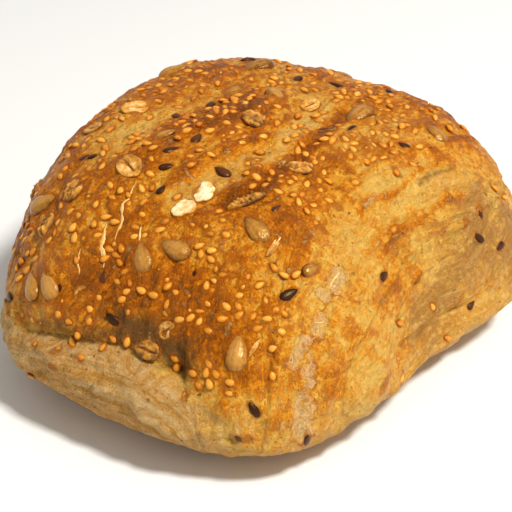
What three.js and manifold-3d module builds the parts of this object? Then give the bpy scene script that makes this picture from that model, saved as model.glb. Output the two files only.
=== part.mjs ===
// Square-cut multigrain bread roll with seeds baked into its crust, millimetres, +Z up.
// The origin is on the surface that the roll stands on, under the middle of its box. The roll's length
// runs along X. The crust is given by its distance from a point inside, the heart, in each direction, so a
// place on it is a bearing round the upright axis (0 along +X, 90 along +Y) and a rise above the level of
// the belly, both in degrees.
import * as THREE from "three";
import { mergeVertices } from "three/addons/utils/BufferGeometryUtils.js";
import Module from "manifold-3d";

// Driving sizes of the loaf.
const LENGTH = 121;
const WIDTH = 106;
const HEIGHT = 54.5;
const BELLY = 13.2; // height of the widest level above the base
const HEART = new THREE.Vector3(-1.7, -1.6, BELLY);

// How full the loaf is: exponents of the plan and of the profile above and below the belly.
const PLAN_FULLNESS = 2.4;
const UPPER_WALL = 3.9;
const UPPER_CROWN = 1.7;
const LOWER_WALL = 3.4;
const LOWER_CURVE = 2.0;
const LOWER_DEPTH = 1.1; // where the underside would close, in belly heights, had it no flat base

// The crown leans this far off the belly's middle, and the plan swells towards its cut corners.
const LEAN = { x: 15.4, y: 12.9, bend: 1.5 };
const PLAN_SWELLS = [
  { lobes: 2, share: 0.041, bearing: -45 },
  { lobes: 3, share: 0.06, bearing: 87 },
  { lobes: 4, share: 0.05, bearing: 57 },
];

// Soft lumps all over: height, and the length of one lump along each axis.
const LUMPS = { height: 0.45, x: 27, y: 23, z: 19 };
const FOOT = 4; // relief fades to nothing over this height above the base

// Long features of the crust. Each follows a path of [bearing, rise] places; height is how far the crust
// stands out (or sinks in) along it, left and right how far that reaches to either side of the path.
const SCORES = [
  { height: -1.3, left: 4.5, right: 4.5, path: [[113, 51], [103, 56], [82, 58], [50, 54]] },
  { height: -1.5, left: 5.5, right: 5.5, path: [[170, 51], [-178, 60], [-165, 75], [-30, 82], [-6, 62]] },
];
const FOLDS = [
  // lifted edge of the crust above the near score, and the groove under it
  { height: 1.6, left: 6, right: 1.6, path: [[-20, 84], [162, 80], [164, 69], [165, 61], [166, 52]] },
  { height: -1.4, left: 2.2, right: 2.6, path: [[-157, 58], [-136, 68], [-73, 74], [-24, 62], [-15, 56]] },
  // ridge between the two scores
  { height: 1.3, left: 6, right: 6, path: [[140, 56], [120, 68], [40, 68]] },
  // fold where the end was tucked over its foot, with the hollow above it and the foot below
  { height: -1.7, left: 2.4, right: 1.5, path: [[155, 7], [169, 9], [180, 11.5], [-172, 12], [-160, 10.5]] },
  { height: -1.6, left: 3, right: 3, path: [[-160, 10.5], [-157, 8.5], [-153, 5.5]] },
  { height: -2.6, left: 6, right: 5, path: [[-178, 17], [-168, 16], [-161, 13.5]] },
  { height: 1.2, left: 4, right: 6, path: [[158, 2], [175, 5], [-168, 4]] },
  // soft edge down the cut side, the hollow beside it and the creases above
  { height: 0.9, left: 6, right: 9, path: [[-98, 21], [-107, 11], [-110, 2]] },
  { height: -0.8, left: 10, right: 10, path: [[-88, 12], [-70, 10]] },
  { height: 1.0, left: 2.6, right: 3.5, path: [[-78, 34], [-68, 32], [-59, 27]] },
  { height: 0.9, left: 3, right: 4, path: [[-76, 51], [-58, 47]] },
  { height: 1.1, left: 3.5, right: 3.5, path: [[-62, 40], [-50, 33], [-47, 22], [-50, 10]] },
  // lip round the foot of the cut side, and the groove above it
  { height: -1.2, left: 2.5, right: 2, path: [[-99, 5], [-79, 4], [-64, 4]] },
  { height: 1.2, left: 3, right: 4, path: [[-102, -3], [-90, -2], [-70, -1], [-52, 0]] },
  // the far sides: a fold above the foot, a soft edge and a crease
  { height: -1.8, left: 4, right: 2, path: [[20, 6], [45, 9], [75, 8], [100, 10]] },
  { height: 1.3, left: 6, right: 8, path: [[60, 30], [52, 14], [48, 0]] },
  { height: -1.1, left: 4, right: 3, path: [[-30, 24], [-8, 28], [14, 26]] },
];
// Broad swellings and hollows of the whole loaf.
const SWELLINGS = [
  { height: 1.1, left: 14, right: 14, path: [[-28, 27], [-16, 22]] },
  { height: 1.6, left: 12, right: 10, path: [[-52, 2], [-42, 2]] },
  { height: -0.8, left: 10, right: 10, path: [[140, 8], [142, 24]] },
  { height: -0.9, left: 8, right: 8, path: [[-122, 0], [-116, 0]] },
  { height: -0.7, left: 8, right: 8, path: [[88, 42], [66, 44]] },
];
const RELIEF = [...SCORES, ...FOLDS, ...SWELLINGS];
const NARROWEST = 3; // relief reaches at least this far, so that the faces can follow it

// Seeds and flakes that lie where the dough took them up, each as [bearing, rise, turn, length]. The turn
// is the long axis's angle from level, seen from outside.
const KERNELS = {
  width: 0.56, depth: 0.36, taper: 0.14, sunk: 0.06, detail: 1,
  places: [
    [-146, 18, 87, 8.8], [154, 16, 157, 8.6], [159, 19, 152, 8.5], [180, 35, 130, 7.7],
    [-171, 40, 172, 8.3], [-141, 49, 126, 8.3], [37, 46, 24, 9.1], [-22, 54, 110, 9.4],
    [49, 55, 29, 6], [122, 63, 106, 5.5], [-36, 38, 44, 7.7], [134, 28, 61, 9], [-123, 36, 21, 5],
    [12, 36, 40, 8.6], [64, 38, 150, 8.2], [80, 26, 75, 8.8], [98, 24, 20, 8.4], [24, 62, 130, 8],
  ],
};
const FLAKES = {
  width: 0.78, depth: 0.16, taper: 0.1, sunk: -0.3, detail: 1,
  places: [
    [145, 52, 17, 7.4], [-174, 60, 98, 6.1], [-177, 52, 69, 5.8], [141, 37, 116, 6.2],
    [144, 27, 138, 6.1], [-169, 14, 178, 5.9], [-165, 20, 42, 4.8], [168, 21, 66, 3.6],
    [108, 41, 73, 6], [-93, 70, 108, 6.3], [40, 78, 149, 6.4], [30, 28, 60, 6.4],
    [56, 24, 10, 6], [118, 22, 130, 6.2], [2, 60, 80, 5.6],
  ],
};
// A rolled oat that stands off the crust: its face leans by these degrees towards the torn front corner.
const OATS = {
  width: 0.78, depth: 0.16, taper: 0.1, sunk: -0.3, detail: 1, lean: 24,
  places: [[96, 49, 118, 6.6]],
};
const TORN_CORNER = [-142, 32];
const STRIPS = {
  width: 0.24, depth: 0.14, taper: 0.1, sunk: -0.1, detail: 0,
  places: [[-147, 59, 18, 9.4], [-134, 44, 49, 7], [-142, 19, 58, 4.4]],
};
const FLAX = {
  width: 0.5, depth: 0.28, taper: 0.15, sunk: 0.04, detail: 0,
  places: [
    [126, 41, 113, 3.4], [127, 43.5, 89, 3], [153, 60, 69, 3.6], [142, 64, 101, 4.4],
    [131, 72, 149, 3.8], [-175, 71, 176, 4.5], [94, 61, 64, 4], [166, 54, 98, 3.4],
    [172, 26, 105, 4], [-160, 35, 33, 4.2], [179, 18, 158, 4.4], [158, 25, 38, 3.4],
    [162, 20, 129, 3.2], [147, 9, 23, 4.6], [-142, 7, 125, 4], [-144, 1, 1, 3.9],
    [4, 48, 0, 4.8], [40, 40, 30, 4.6], [-46, 46, 67, 3.8], [-44, 39, 89, 3.2],
    [-132, 30.5, 25, 4.8], [-95, 27, 8, 4.2], [-92, 22, 175, 3.6], [-81, 20, 15, 3.2],
    [-66, 3, 8, 3], [-109, 3, 32, 4.2], [-131, -2, 85, 4.2], [-58, 18, 109, 4],
    [-54, 12, 169, 3.8], [-53, 22, 62, 3.6], [-130, 56, 34, 3.6], [-27, 65, 90, 3.8],
    [-36, 59, 125, 3.4], [20, 50, 70, 4.2], [55, 32, 120, 4], [84, 33, 160, 4.4],
    [98, 20, 30, 4.2], [70, 64, 45, 4], [28, 20, 100, 4.4], [-10, 40, 150, 4.2],
  ],
};

// Sesame is strewn by a rule: a seeded draw, kept where the crust carries seeds and apart from each other.
const SESAME = { length: 2.6, width: 0.62, depth: 0.42, taper: 0.16, sunk: 0.15, detail: 0 };
const SESAME_SOLIDS = 68; // the first of them, which are made solid here
const SESAME_TRIES = 6400;
const SESAME_SPACING = 1.9;
const SESAME_CLEAR = 1.2; // room between a large seed's end and the middle of a sesame seed
const SESAME_ON_CUT = 0.01; // share of tries kept on the bare cut sides
const SESAME_ON_SCORE = 0.3; // and of the others, on the opened scores
const SESAME_THIN = 0.32; // and where the crust is seeded, but not thickly
// Where the sesame lies thickest: share of tries kept, radius, and path.
const SESAME_THICK = [
  { share: 0.9, radius: 6, path: [[114, 36], [104, 41], [90, 46], [84, 50]] },
  { share: 0.9, radius: 5, path: [[140, 60], [110, 68], [60, 70]] },
  { share: 1.0, radius: 7, path: [[0, 74], [30, 62], [30, 50]] },
  { share: 1.0, radius: 6, path: [[20, 46], [-4, 51], [-20, 48]] },
  { share: 1.0, radius: 6, path: [[-141, 63], [-110, 64], [-70, 64]] },
  { share: 1.0, radius: 7, path: [[-50, 62], [-42, 52], [-40, 46]] },
  { share: 0.9, radius: 7, path: [[-158, 36], [-146, 32], [-144, 24]] },
  { share: 0.8, radius: 7, path: [[170, 34], [-172, 30], [-160, 24]] },
  { share: 0.8, radius: 5, path: [[140, 18], [154, 14], [166, 16]] },
  { share: 0.8, radius: 5, path: [[-155, 12], [-146, 14], [-142, 18]] },
  { share: 0.5, radius: 4, path: [[158, 4], [164, 6], [172, 10], [-178, 12]] },
];
const SEED = 20251;
// Rise down to which the crust carries seeds, by bearing: high over the cut sides, low over the folded end.
const SEEDED_DOWN_TO = [
  [-180, 12], [-164, 12], [-150, 7], [-139, 9], [-134, 24], [-114, 48], [-90, 54], [-68, 52],
  [-46, 38], [-26, 25], [10, 24], [40, 18], [80, 14], [120, 11], [165, 9], [180, 12],
];
const SEEDED_BLUR = 9; // degrees over which seeds thin out to either side of that line

const CRUST_DETAIL = 13;
const CRUST_COLOUR = 0xc98a3c;
const NORMAL_STEP = 1.5; // span over which the crust's slope is read under a seed

const wasm = await Module();
wasm.setup();

function clamp01(value) {
  return Math.min(1, Math.max(0, value));
}

function direction(bearing, rise) {
  const b = THREE.MathUtils.degToRad(bearing);
  const r = THREE.MathUtils.degToRad(rise);
  return new THREE.Vector3(Math.cos(b) * Math.cos(r), Math.sin(b) * Math.cos(r), Math.sin(r));
}

function planSwell(bearing) {
  let share = 1;
  for (const swell of PLAN_SWELLS) {
    share += swell.share * Math.cos(swell.lobes * (bearing - THREE.MathUtils.degToRad(swell.bearing)));
  }
  return share;
}

// Whether a point, given from the heart, is within the smooth loaf.
function isInside(point, swell) {
  if (point.z <= -BELLY) {
    return false;
  }
  const up = point.z / (HEIGHT - BELLY);
  const lean = Math.pow(Math.max(up, 0), LEAN.bend);
  const across = Math.abs(point.x - LEAN.x * lean) / (LENGTH / 2);
  const along = Math.abs(point.y - LEAN.y * lean) / (WIDTH / 2);
  const summed = Math.pow(across, PLAN_FULLNESS) + Math.pow(along, PLAN_FULLNESS);
  const out = Math.pow(summed, 1 / PLAN_FULLNESS) / swell;
  if (up > 0) {
    return Math.pow(out, UPPER_WALL) + Math.pow(up, UPPER_CROWN) < 1;
  }
  return Math.pow(out, LOWER_WALL) + Math.pow(-point.z / (BELLY * LOWER_DEPTH), LOWER_CURVE) < 1;
}

// The smooth loaf's surface in a direction from the heart, found by halving.
function smoothPoint(towards) {
  const swell = planSwell(Math.atan2(towards.y, towards.x));
  let near = 0;
  let far = LENGTH;
  for (let halving = 0; halving < 28; halving += 1) {
    const middle = (near + far) / 2;
    if (isInside(towards.clone().multiplyScalar(middle), swell)) {
      near = middle;
    } else {
      far = middle;
    }
  }
  return towards.clone().multiplyScalar(near);
}

// Distance from a point to a path, and on which side of the path, seen from outside, the point lies.
function besidePath(point, path) {
  let nearest = { distance: Infinity, onLeft: true };
  for (let index = 0; index + 1 < path.length; index += 1) {
    const step = path[index + 1].clone().sub(path[index]);
    const offset = point.clone().sub(path[index]);
    const reached = clamp01(offset.dot(step) / step.lengthSq());
    const distance = offset.distanceTo(step.clone().multiplyScalar(reached));
    if (distance < nearest.distance) {
      nearest = { distance, onLeft: step.cross(offset).dot(point) > 0 };
    }
  }
  return nearest;
}

for (const feature of [...RELIEF, ...SESAME_THICK]) {
  feature.points = feature.path.map(([bearing, rise]) => smoothPoint(direction(bearing, rise)));
}

// How far the crust stands off the smooth loaf at one of its points.
function relief(point) {
  let height = LUMPS.height * Math.sin((2 * Math.PI * point.x) / LUMPS.x + 1)
    * Math.sin((2 * Math.PI * point.y) / LUMPS.y + 2) * Math.cos((2 * Math.PI * point.z) / LUMPS.z);
  for (const feature of RELIEF) {
    const { distance, onLeft } = besidePath(point, feature.points);
    const reach = Math.max(onLeft ? feature.left : feature.right, NARROWEST);
    height += feature.height * Math.exp(-((distance / reach) ** 2));
  }
  return height * clamp01((point.z + BELLY) / FOOT);
}

// The crust itself, given from the heart.
function crustPoint(towards) {
  const point = smoothPoint(towards);
  const length = point.length();
  return point.multiplyScalar((length + relief(point)) / length);
}

function toManifold(geometry) {
  const bare = geometry.clone();
  bare.deleteAttribute("normal");
  bare.deleteAttribute("uv");
  const merged = mergeVertices(bare, 1e-4);
  return new wasm.Manifold(new wasm.Mesh({
    numProp: 3,
    vertProperties: new Float32Array(merged.attributes.position.array),
    triVerts: new Uint32Array(merged.index.array),
  }));
}

// The bare loaf. Its vertices gather above the belly, where the relief is.
function makeLoaf() {
  const geometry = new THREE.IcosahedronGeometry(1, CRUST_DETAIL);
  const corners = geometry.attributes.position;
  const towards = new THREE.Vector3();
  for (let index = 0; index < corners.count; index += 1) {
    towards.fromBufferAttribute(corners, index).normalize();
    const lifted = towards.z + 0.25 * (1 - towards.z ** 2);
    const level = Math.hypot(towards.x, towards.y);
    const shrink = level > 1e-9 ? Math.sqrt(1 - lifted ** 2) / level : 0;
    towards.set(towards.x * shrink, towards.y * shrink, lifted).normalize();
    const place = crustPoint(towards).add(HEART);
    corners.setXYZ(index, place.x, place.y, place.z < 0.01 ? 0 : place.z);
  }
  return toManifold(geometry);
}

// A seed: a ball drawn out along X, flattened and tapered towards one tip.
function seedGeometry(kind, length) {
  const geometry = new THREE.IcosahedronGeometry(1, kind.detail);
  const corners = geometry.attributes.position;
  for (let index = 0; index < corners.count; index += 1) {
    const along = corners.getX(index);
    const girth = 1 - kind.taper * along;
    corners.setXYZ(
      index,
      (along * length) / 2,
      (corners.getY(index) * girth * kind.width * length) / 2,
      (corners.getZ(index) * girth * kind.depth * length) / 2,
    );
  }
  return geometry;
}

// The matrix that lays a seed on the crust: X along it, Z out of the crust.
function layOnCrust(kind, [bearing, rise, turn, length]) {
  const towards = direction(bearing, rise);
  const place = crustPoint(towards);
  const level = new THREE.Vector3(-towards.y, towards.x, 0).normalize();
  const upward = new THREE.Vector3().crossVectors(towards, level);
  const span = NORMAL_STEP / place.length();
  const beside = (axis, side) => crustPoint(towards.clone().addScaledVector(axis, side * span).normalize());
  const eastward = beside(level, 1).sub(beside(level, -1));
  const northward = beside(upward, 1).sub(beside(upward, -1));
  const out = new THREE.Vector3().crossVectors(eastward, northward).normalize();
  const first = level.addScaledVector(out, -level.dot(out)).normalize();
  const second = new THREE.Vector3().crossVectors(out, first);
  const angle = THREE.MathUtils.degToRad(turn);
  const along = first.multiplyScalar(Math.cos(angle)).addScaledVector(second, Math.sin(angle));
  const aside = new THREE.Vector3().crossVectors(out, along);
  place.addScaledVector(out, -kind.sunk * kind.depth * length).add(HEART);
  const laid = new THREE.Matrix4().makeBasis(along, aside, out);
  if (kind.lean) {
    const axis = out.clone().cross(direction(...TORN_CORNER)).normalize();
    laid.premultiply(new THREE.Matrix4().makeRotationAxis(axis, THREE.MathUtils.degToRad(kind.lean)));
  }
  return laid.setPosition(place);
}

// How readily the crust carries sesame at a place, from 0 to 1.
function sesameShare(bearing, rise) {
  let lowest = 0;
  for (let index = 0; index + 1 < SEEDED_DOWN_TO.length; index += 1) {
    const [from, riseFrom] = SEEDED_DOWN_TO[index];
    const [to, riseTo] = SEEDED_DOWN_TO[index + 1];
    if (bearing >= from && bearing <= to) {
      lowest = riseFrom + ((riseTo - riseFrom) * (bearing - from)) / (to - from);
    }
  }
  const carried = clamp01((rise - lowest) / SEEDED_BLUR + 0.5);
  const point = smoothPoint(direction(bearing, rise));
  const opened = SCORES.some((score) => besidePath(point, score.points).distance < score.left);
  let thick = SESAME_THIN;
  for (const { share, radius, points } of SESAME_THICK) {
    thick = Math.max(thick, share * Math.exp(-((besidePath(point, points).distance / radius) ** 2)));
  }
  return Math.max(SESAME_ON_CUT, carried * thick * (opened ? SESAME_ON_SCORE : 1));
}

let drawn = SEED;
function draw() {
  drawn = (Math.imul(drawn, 1664525) + 1013904223) >>> 0;
  return drawn / 4294967296;
}

// Places of the sesame seeds that are made solid.
function strewSesame(largeSeeds) {
  const taken = largeSeeds.map(([bearing, rise, , length]) => ({
    point: smoothPoint(direction(bearing, rise)),
    clear: length / 2 + SESAME_CLEAR,
  }));
  const places = [];
  for (let attempt = 0; attempt < SESAME_TRIES && places.length < SESAME_SOLIDS; attempt += 1) {
    const bearing = 360 * draw() - 180;
    const rise = THREE.MathUtils.radToDeg(Math.asin(1.08 * draw() - 0.08));
    const turn = 180 * draw();
    const length = SESAME.length * (0.88 + 0.24 * draw());
    const chance = draw();
    if (chance > sesameShare(bearing, rise)) {
      continue;
    }
    const point = smoothPoint(direction(bearing, rise));
    if (taken.some((other) => other.point.distanceTo(point) < other.clear)) {
      continue;
    }
    taken.push({ point, clear: SESAME_SPACING });
    places.push([bearing, rise, turn, length]);
  }
  return places;
}

// The seeded roll is one piece: every seed is joined to the loaf that it is baked into.
function makeRoll() {
  const largeKinds = [KERNELS, FLAKES, OATS, STRIPS, FLAX];
  const largeSeeds = largeKinds.flatMap((kind) => kind.places);
  const kinds = [...largeKinds, { ...SESAME, places: strewSesame(largeSeeds) }];
  let roll = makeLoaf();
  for (const kind of kinds) {
    for (const place of kind.places) {
      const seed = seedGeometry(kind, place[3]).applyMatrix4(layOnCrust(kind, place));
      roll = roll.add(toManifold(seed));
    }
  }
  return roll;
}

function toGeometry(solid) {
  const mesh = solid.getMesh();
  const geometry = new THREE.BufferGeometry();
  geometry.setAttribute("position", new THREE.BufferAttribute(mesh.vertProperties, 3));
  geometry.setIndex(new THREE.BufferAttribute(mesh.triVerts, 1));
  geometry.computeVertexNormals();
  return geometry;
}

const crustMaterial = new THREE.MeshStandardMaterial({
  color: CRUST_COLOUR,
  roughness: 0.7,
  metalness: 0,
});

const roll = new THREE.Mesh(toGeometry(makeRoll()), crustMaterial);
roll.name = "bread_roll";

const group = new THREE.Group();
group.add(roll);

export default group;
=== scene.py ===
"""Square-cut multigrain bread roll: crust, baked-in seeds and flakes, floor and light."""

import math
from types import SimpleNamespace

import bmesh
import bpy
import numpy as np
from bpy.props import FloatProperty, FloatVectorProperty, IntProperty, PointerProperty
from bpy.types import Operator, Panel, PropertyGroup
from mathutils import Matrix, Vector
from mathutils.bvhtree import BVHTree
from mathutils.kdtree import KDTree


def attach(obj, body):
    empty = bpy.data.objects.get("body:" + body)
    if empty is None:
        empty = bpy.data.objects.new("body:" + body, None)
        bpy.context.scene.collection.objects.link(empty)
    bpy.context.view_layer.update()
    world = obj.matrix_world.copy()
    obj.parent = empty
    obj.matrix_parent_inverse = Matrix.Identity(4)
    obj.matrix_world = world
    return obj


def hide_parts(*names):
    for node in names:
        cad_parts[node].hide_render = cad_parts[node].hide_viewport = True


bl_info = {
    "name": "Multigrain bread roll",
    "version": (1, 0, 0),
    "blender": (4, 5, 0),
    "location": "3D View > Sidebar > Bread",
    "description": "A square-cut multigrain roll with seeds baked into its crust",
    "category": "Add Mesh",
}

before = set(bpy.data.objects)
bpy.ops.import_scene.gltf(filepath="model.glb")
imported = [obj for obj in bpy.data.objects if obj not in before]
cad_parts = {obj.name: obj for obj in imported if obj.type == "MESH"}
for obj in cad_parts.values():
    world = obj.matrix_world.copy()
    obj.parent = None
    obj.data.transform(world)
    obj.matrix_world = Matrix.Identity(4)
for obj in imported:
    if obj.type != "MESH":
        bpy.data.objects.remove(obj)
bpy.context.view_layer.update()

MM = 0.001
NODE = "bread_roll"
BODY = "root"

# --------------------------------------------------------------------------------------------------
# The loaf. A place on the crust is a bearing round the upright axis through the heart (0 along +X, 90
# along +Y) and a rise above the level of the belly, both in degrees. Lengths here are in millimetres.
# --------------------------------------------------------------------------------------------------

HEART = np.array([-1.7, -1.6, 13.2])
PLAN_FULLNESS = 2.4
UPPER_WALL, UPPER_CROWN = 3.9, 1.7
LOWER_WALL, LOWER_CURVE, LOWER_DEPTH = 3.4, 2.0, 1.1
LEAN_X, LEAN_Y, LEAN_BEND = 15.4, 12.9, 1.5
PLAN_SWELLS = [(2, 0.041, -45), (3, 0.06, 87), (4, 0.05, 57)]  # lobes, share, bearing
LUMP_HEIGHT = 0.45
LUMP_SPANS = np.array([27.0, 23.0, 19.0])
LUMP_SHIFTS = np.array([1.0, 2.0, math.pi / 2])
FOOT = 4.0  # relief fades to nothing over this height above the base
HALVINGS = 28  # steps that find the smooth loaf's surface

# Paths that several features follow.
SHORT_CUT = [(113, 51), (103, 56), (82, 58), (50, 54)]
LONG_CUT = [(170, 51), (-178, 60), (-165, 75), (-30, 82), (-6, 62)]
RIDGE = [(-20, 84), (162, 80), (164, 69), (165, 61), (166, 52)]
GROOVE = [(-157, 58), (-136, 68), (-73, 74), (-24, 62), (-15, 56)]
BACK_RIDGE = [(140, 56), (120, 68), (40, 68)]
BACK_CREASE = [(101, 61), (96, 64.5), (64, 64), (39, 58.5)]

# Long features: height, reach to the left and to the right of the path, and the path's places.
SCORES = [(-1.3, 4.5, 4.5, SHORT_CUT), (-1.5, 5.5, 5.5, LONG_CUT)]
FOLDS = [
    (1.6, 6, 1.6, RIDGE),
    (-1.4, 2.2, 2.6, GROOVE),
    (1.3, 6, 6, BACK_RIDGE),
    (-1.7, 2.4, 1.5, [(155, 7), (169, 9), (180, 11.5), (-172, 12), (-160, 10.5)]),
    (-1.6, 3, 3, [(-160, 10.5), (-157, 8.5), (-153, 5.5)]),
    (-2.6, 6, 5, [(-178, 17), (-168, 16), (-161, 13.5)]),
    (1.2, 4, 6, [(158, 2), (175, 5), (-168, 4)]),
    (0.9, 6, 9, [(-98, 21), (-107, 11), (-110, 2)]),
    (-0.8, 10, 10, [(-88, 12), (-70, 10)]),
    (1.0, 2.6, 3.5, [(-78, 34), (-68, 32), (-59, 27)]),
    (0.9, 3, 4, [(-76, 51), (-58, 47)]),
    (1.1, 3.5, 3.5, [(-62, 40), (-50, 33), (-47, 22), (-50, 10)]),
    (-1.2, 2.5, 2, [(-99, 5), (-79, 4), (-64, 4)]),
    (1.2, 3, 4, [(-102, -3), (-90, -2), (-70, -1), (-52, 0)]),
    (-1.8, 4, 2, [(20, 6), (45, 9), (75, 8), (100, 10)]),
    (1.3, 6, 8, [(60, 30), (52, 14), (48, 0)]),
    (-1.1, 4, 3, [(-30, 24), (-8, 28), (14, 26)]),
]
SWELLINGS = [
    (1.1, 14, 14, [(-28, 27), (-16, 22)]),
    (1.6, 12, 10, [(-52, 2), (-42, 2)]),
    (-0.8, 10, 10, [(140, 8), (142, 24)]),
    (-0.9, 8, 8, [(-122, 0), (-116, 0)]),
    (-0.7, 8, 8, [(88, 42), (66, 44)]),
]

# Creases, cracks and skin edges that are too fine for the solid.
CREASES = [
    (-0.8, 0.7, 0.5, [(157, 6), (165.6, 9.3), (172, 11), (-176.7, 13), (-168.8, 11.5), (-160, 10.5)]),
    (-0.6, 1.2, 1.2, [(-163, 11), (-160.2, 10.5), (-157, 8.8)]),
    (-0.4, 0.9, 0.7, [(152, 42), (163, 35), (170, 28)]),
    (-0.35, 0.8, 0.7, [(160, 29), (164, 24)]),
    (-0.35, 0.8, 0.7, [(151, 45), (167, 39)]),
    (-0.6, 1.4, 1.0, BACK_CREASE),
    (0.5, 2.4, 0.5, [(-87, 45.8), (-80.6, 47.5), (-69, 43), (-57.5, 42)]),
    (0.5, 2.6, 0.6, [(-92, 31), (-84, 34.5), (-69.5, 33.2), (-59.9, 32.4), (-52.3, 27)]),
    (-0.5, 0.6, 0.8, [(-61, 39.3), (-55.6, 38.4), (-48.2, 33.5), (-48.5, 27.3), (-47.2, 20.7)]),
    (-0.35, 0.6, 0.7, [(-46, 26.6), (-48.6, 22.1), (-49.3, 14.8), (-48.7, 10.1)]),
    (-0.3, 0.6, 0.7, [(-52, 30), (-54, 22), (-55, 14)]),
    (-0.5, 0.7, 0.9, [(-96.1, 5), (-85.4, 4.1), (-77.5, 4.2), (-67.4, 4)]),
    (0.5, 2.2, 0.8, [(-68, 21.5), (-78.8, 21.5), (-91.7, 18.1), (-104.1, 11.9), (-111.4, 4.9)]),
    (-0.5, 0.9, 1.3, [(-69, 20), (-80, 19.4), (-92, 16.4), (-100, 12)]),
    (-0.45, 0.7, 0.7, [(-72.6, 16.4), (-73.5, 14.6)]),
    (-0.4, 1.0, 0.8, [(-87.5, 4.4), (-83, 4.2)]),
    (-0.35, 0.8, 0.6, [(-140, 4), (-152, 3), (-166, 2), (178, -1)]),
    (0.35, 0.9, 0.9, [(-150, 6), (-164, 6), (-178, 4), (168, 2)]),
    (-0.3, 0.7, 0.7, [(-146, 0), (-160, -1), (-176, -2)]),
]
# Lines that the dough was pulled along, which its fine wrinkles and streaks follow.
PULLS = [
    [(-135, -4), (-130, 11), (-124, 23), (-110, 33), (-80, 39), (-56, 33), (-46, 25)],
    [(-112, 4), (-92, 11), (-77, 13), (-64, 11), (-50, 16)],
    LONG_CUT,
    SHORT_CUT,
    [(162, 12), (166, 28), (158, 44)],
    [(-170, 14), (-172, 30), (-176, 44)],
    [(-146, 0), (-148, 20), (-150, 44)],
    [(128, -6), (126, 16), (118, 40)],
    [(88, -6), (84, 18), (80, 42)],
    [(40, -6), (38, 18), (30, 42)],
    [(-4, -6), (-6, 18), (-10, 42)],
    [(-160, -2), (-170, 2), (175, 1), (158, -3)],
]
# Threads of torn skin: half width and path.
THREADS = [
    (0.5, [(154.1, 50.8), (156.4, 47.8), (159.1, 44.6), (162.5, 41.7), (165.4, 38.9), (168, 35.5)]),
    (1.15, [(159.6, 37.6), (162.1, 35.5), (164.7, 33.2), (167.3, 31), (170.2, 28.4)]),
    (0.36, [(172.3, 42.3), (175.7, 38.3)]),
    (0.42, [(159.8, 29.3), (162.1, 26.5), (165.5, 24.2)]),
    (0.22, [(-118.6, 30.2), (-116.2, 32), (-112.2, 33.6)]),
    (0.2, [(-126.2, 22.8), (-123.2, 22.4)]),
]
# Thin blistered skin: half width and path.
BLISTERS = [
    (2.2, [(-112.6, 33), (-116.4, 30.4)]),
    (1.5, [(-121.6, 29.6), (-120.6, 28.4)]),
    (2.1, [(-124.1, 23.2), (-125.2, 21.4)]),
    (1.6, [(-129.6, 19.6), (-133, 15.4)]),
    (0.9, [(-129, 16.4), (-128.9, 16.1)]),
    (1.8, [(-129.6, 13.8), (-130, 13)]),
    (1.4, [(-129.6, 11.1), (-129.8, 10.6)]),
    (2.9, [(-131.6, 7.2), (-132, 1)]),
]
# How the crust is baked, and painted shade along the groove and the back crease: strength, reach to the
# left and to the right, and path.
TOASTED_AND_SHADED = [
    (0.3, 4, 1.2, RIDGE),
    # Painted shade along the groove, laid as extra toast.
    (0.52, 2.2, 3, GROOVE),
    (0.4, 4, 5, BACK_RIDGE),
    (0.26, 0.8, 1.1, [(-87, 45.8), (-80.6, 47.5), (-69, 43), (-57.5, 42), (-50, 38)]),
    (0.3, 0.9, 1.2, [(-88, 33), (-78.8, 35), (-69.5, 32.6), (-59.9, 31.4), (-52.3, 25.6)]),
    (-0.09, 9, 7, [(-140, 36), (-138, 24), (-140, 10)]),
    (0.32, 6, 6, [(-157, 31), (-151, 22)]),
    (-0.2, 7, 7, [(150, 22), (154, 34)]),
    (0.2, 6, 6, [(90, 49), (66, 47), (40, 44)]),
    # Painted shade along the back crease, laid as extra toast.
    (0.25, 1.6, 2.4, BACK_CREASE),
    (0.1, 6, 6, [(178, 25), (166, 18), (-170, 28)]),
    (0.25, 2, 1.4, [(-96, 6), (-88, 3), (-79, 5.5)]),
    (0.08, 6, 6, [(-100, 22), (-112, 16), (-124, 10)]),
    (-0.1, 6, 6, [(-112, 44), (-90, 48), (-70, 46)]),
    (-0.2, 4.4, 4.0, [(114, 51), *SHORT_CUT[1:]]),
    (-0.08, 7, 6, [(134, 46), (113, 51)]),
    (-0.14, 7, 7, [(-153, 3), (-146, 0)]),
    (-0.34, 4.4, 4.0, [(175, 54), (-178, 60), (-165, 74), (-90, 80), (-30, 80), (-8, 63)]),
    (-0.2, 7, 6, [(8, 58), (-16, 57), (-36, 50)]),
    (-0.12, 7, 7, [(152, 26), (140, 38)]),
    (-0.1, 6, 6, [(75, 50), (108, 48)]),
    (0.12, 5, 5, [(162, 38), (170, 44)]),
    (0.12, 2.5, 2.5, [(101, 79), (60, 74)]),
    (0.14, 2.5, 3, [(-68, 70), (-80, 72)]),
]
# Where the dough is opened and pale; the first three lie in the cuts.
PALE = [
    (0.12, 4.0, 3.6, [(120, 50), (108, 53), (96, 57)]),
    (0.8, 4.0, 3.6, [(176, 55), (-178, 60), (-170, 68)]),
    (0.55, 3.6, 3.2, [(-170, 68), (-165, 74), (-90, 80), (-30, 80), (-8, 63)]),
    (0.75, 3.4, 2.6, [(-62, 36), (-54, 35), (-50, 30), (-52, 22)]),
    (0.75, 9, 9, [(-58, 18), (-68, 14), (-82, 10)]),
    (0.7, 3, 3, [(-96, -2), (-84, 0), (-70, 1), (-56, 0)]),
    (0.4, 8, 8, [(-134, 6), (-122, 2)]),
    (0.3, 7, 7, [(-112, 44), (-98, 40), (-84, 40)]),
]
# Hollows darkened with painted shade over their greyish, unbaked dough.
DULL_AND_SHADE = [
    (1.0, 5.5, 3, [(-177, 17), (-168, 16.5), (-160, 13)]),
    (0.6, 3, 2.5, [(163, 11), (176, 14), (-176, 15)]),
    (0.5, 1.6, 1.0, [(-61, 39.3), (-55.6, 38.4), (-48.2, 33.5)]),
]
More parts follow.
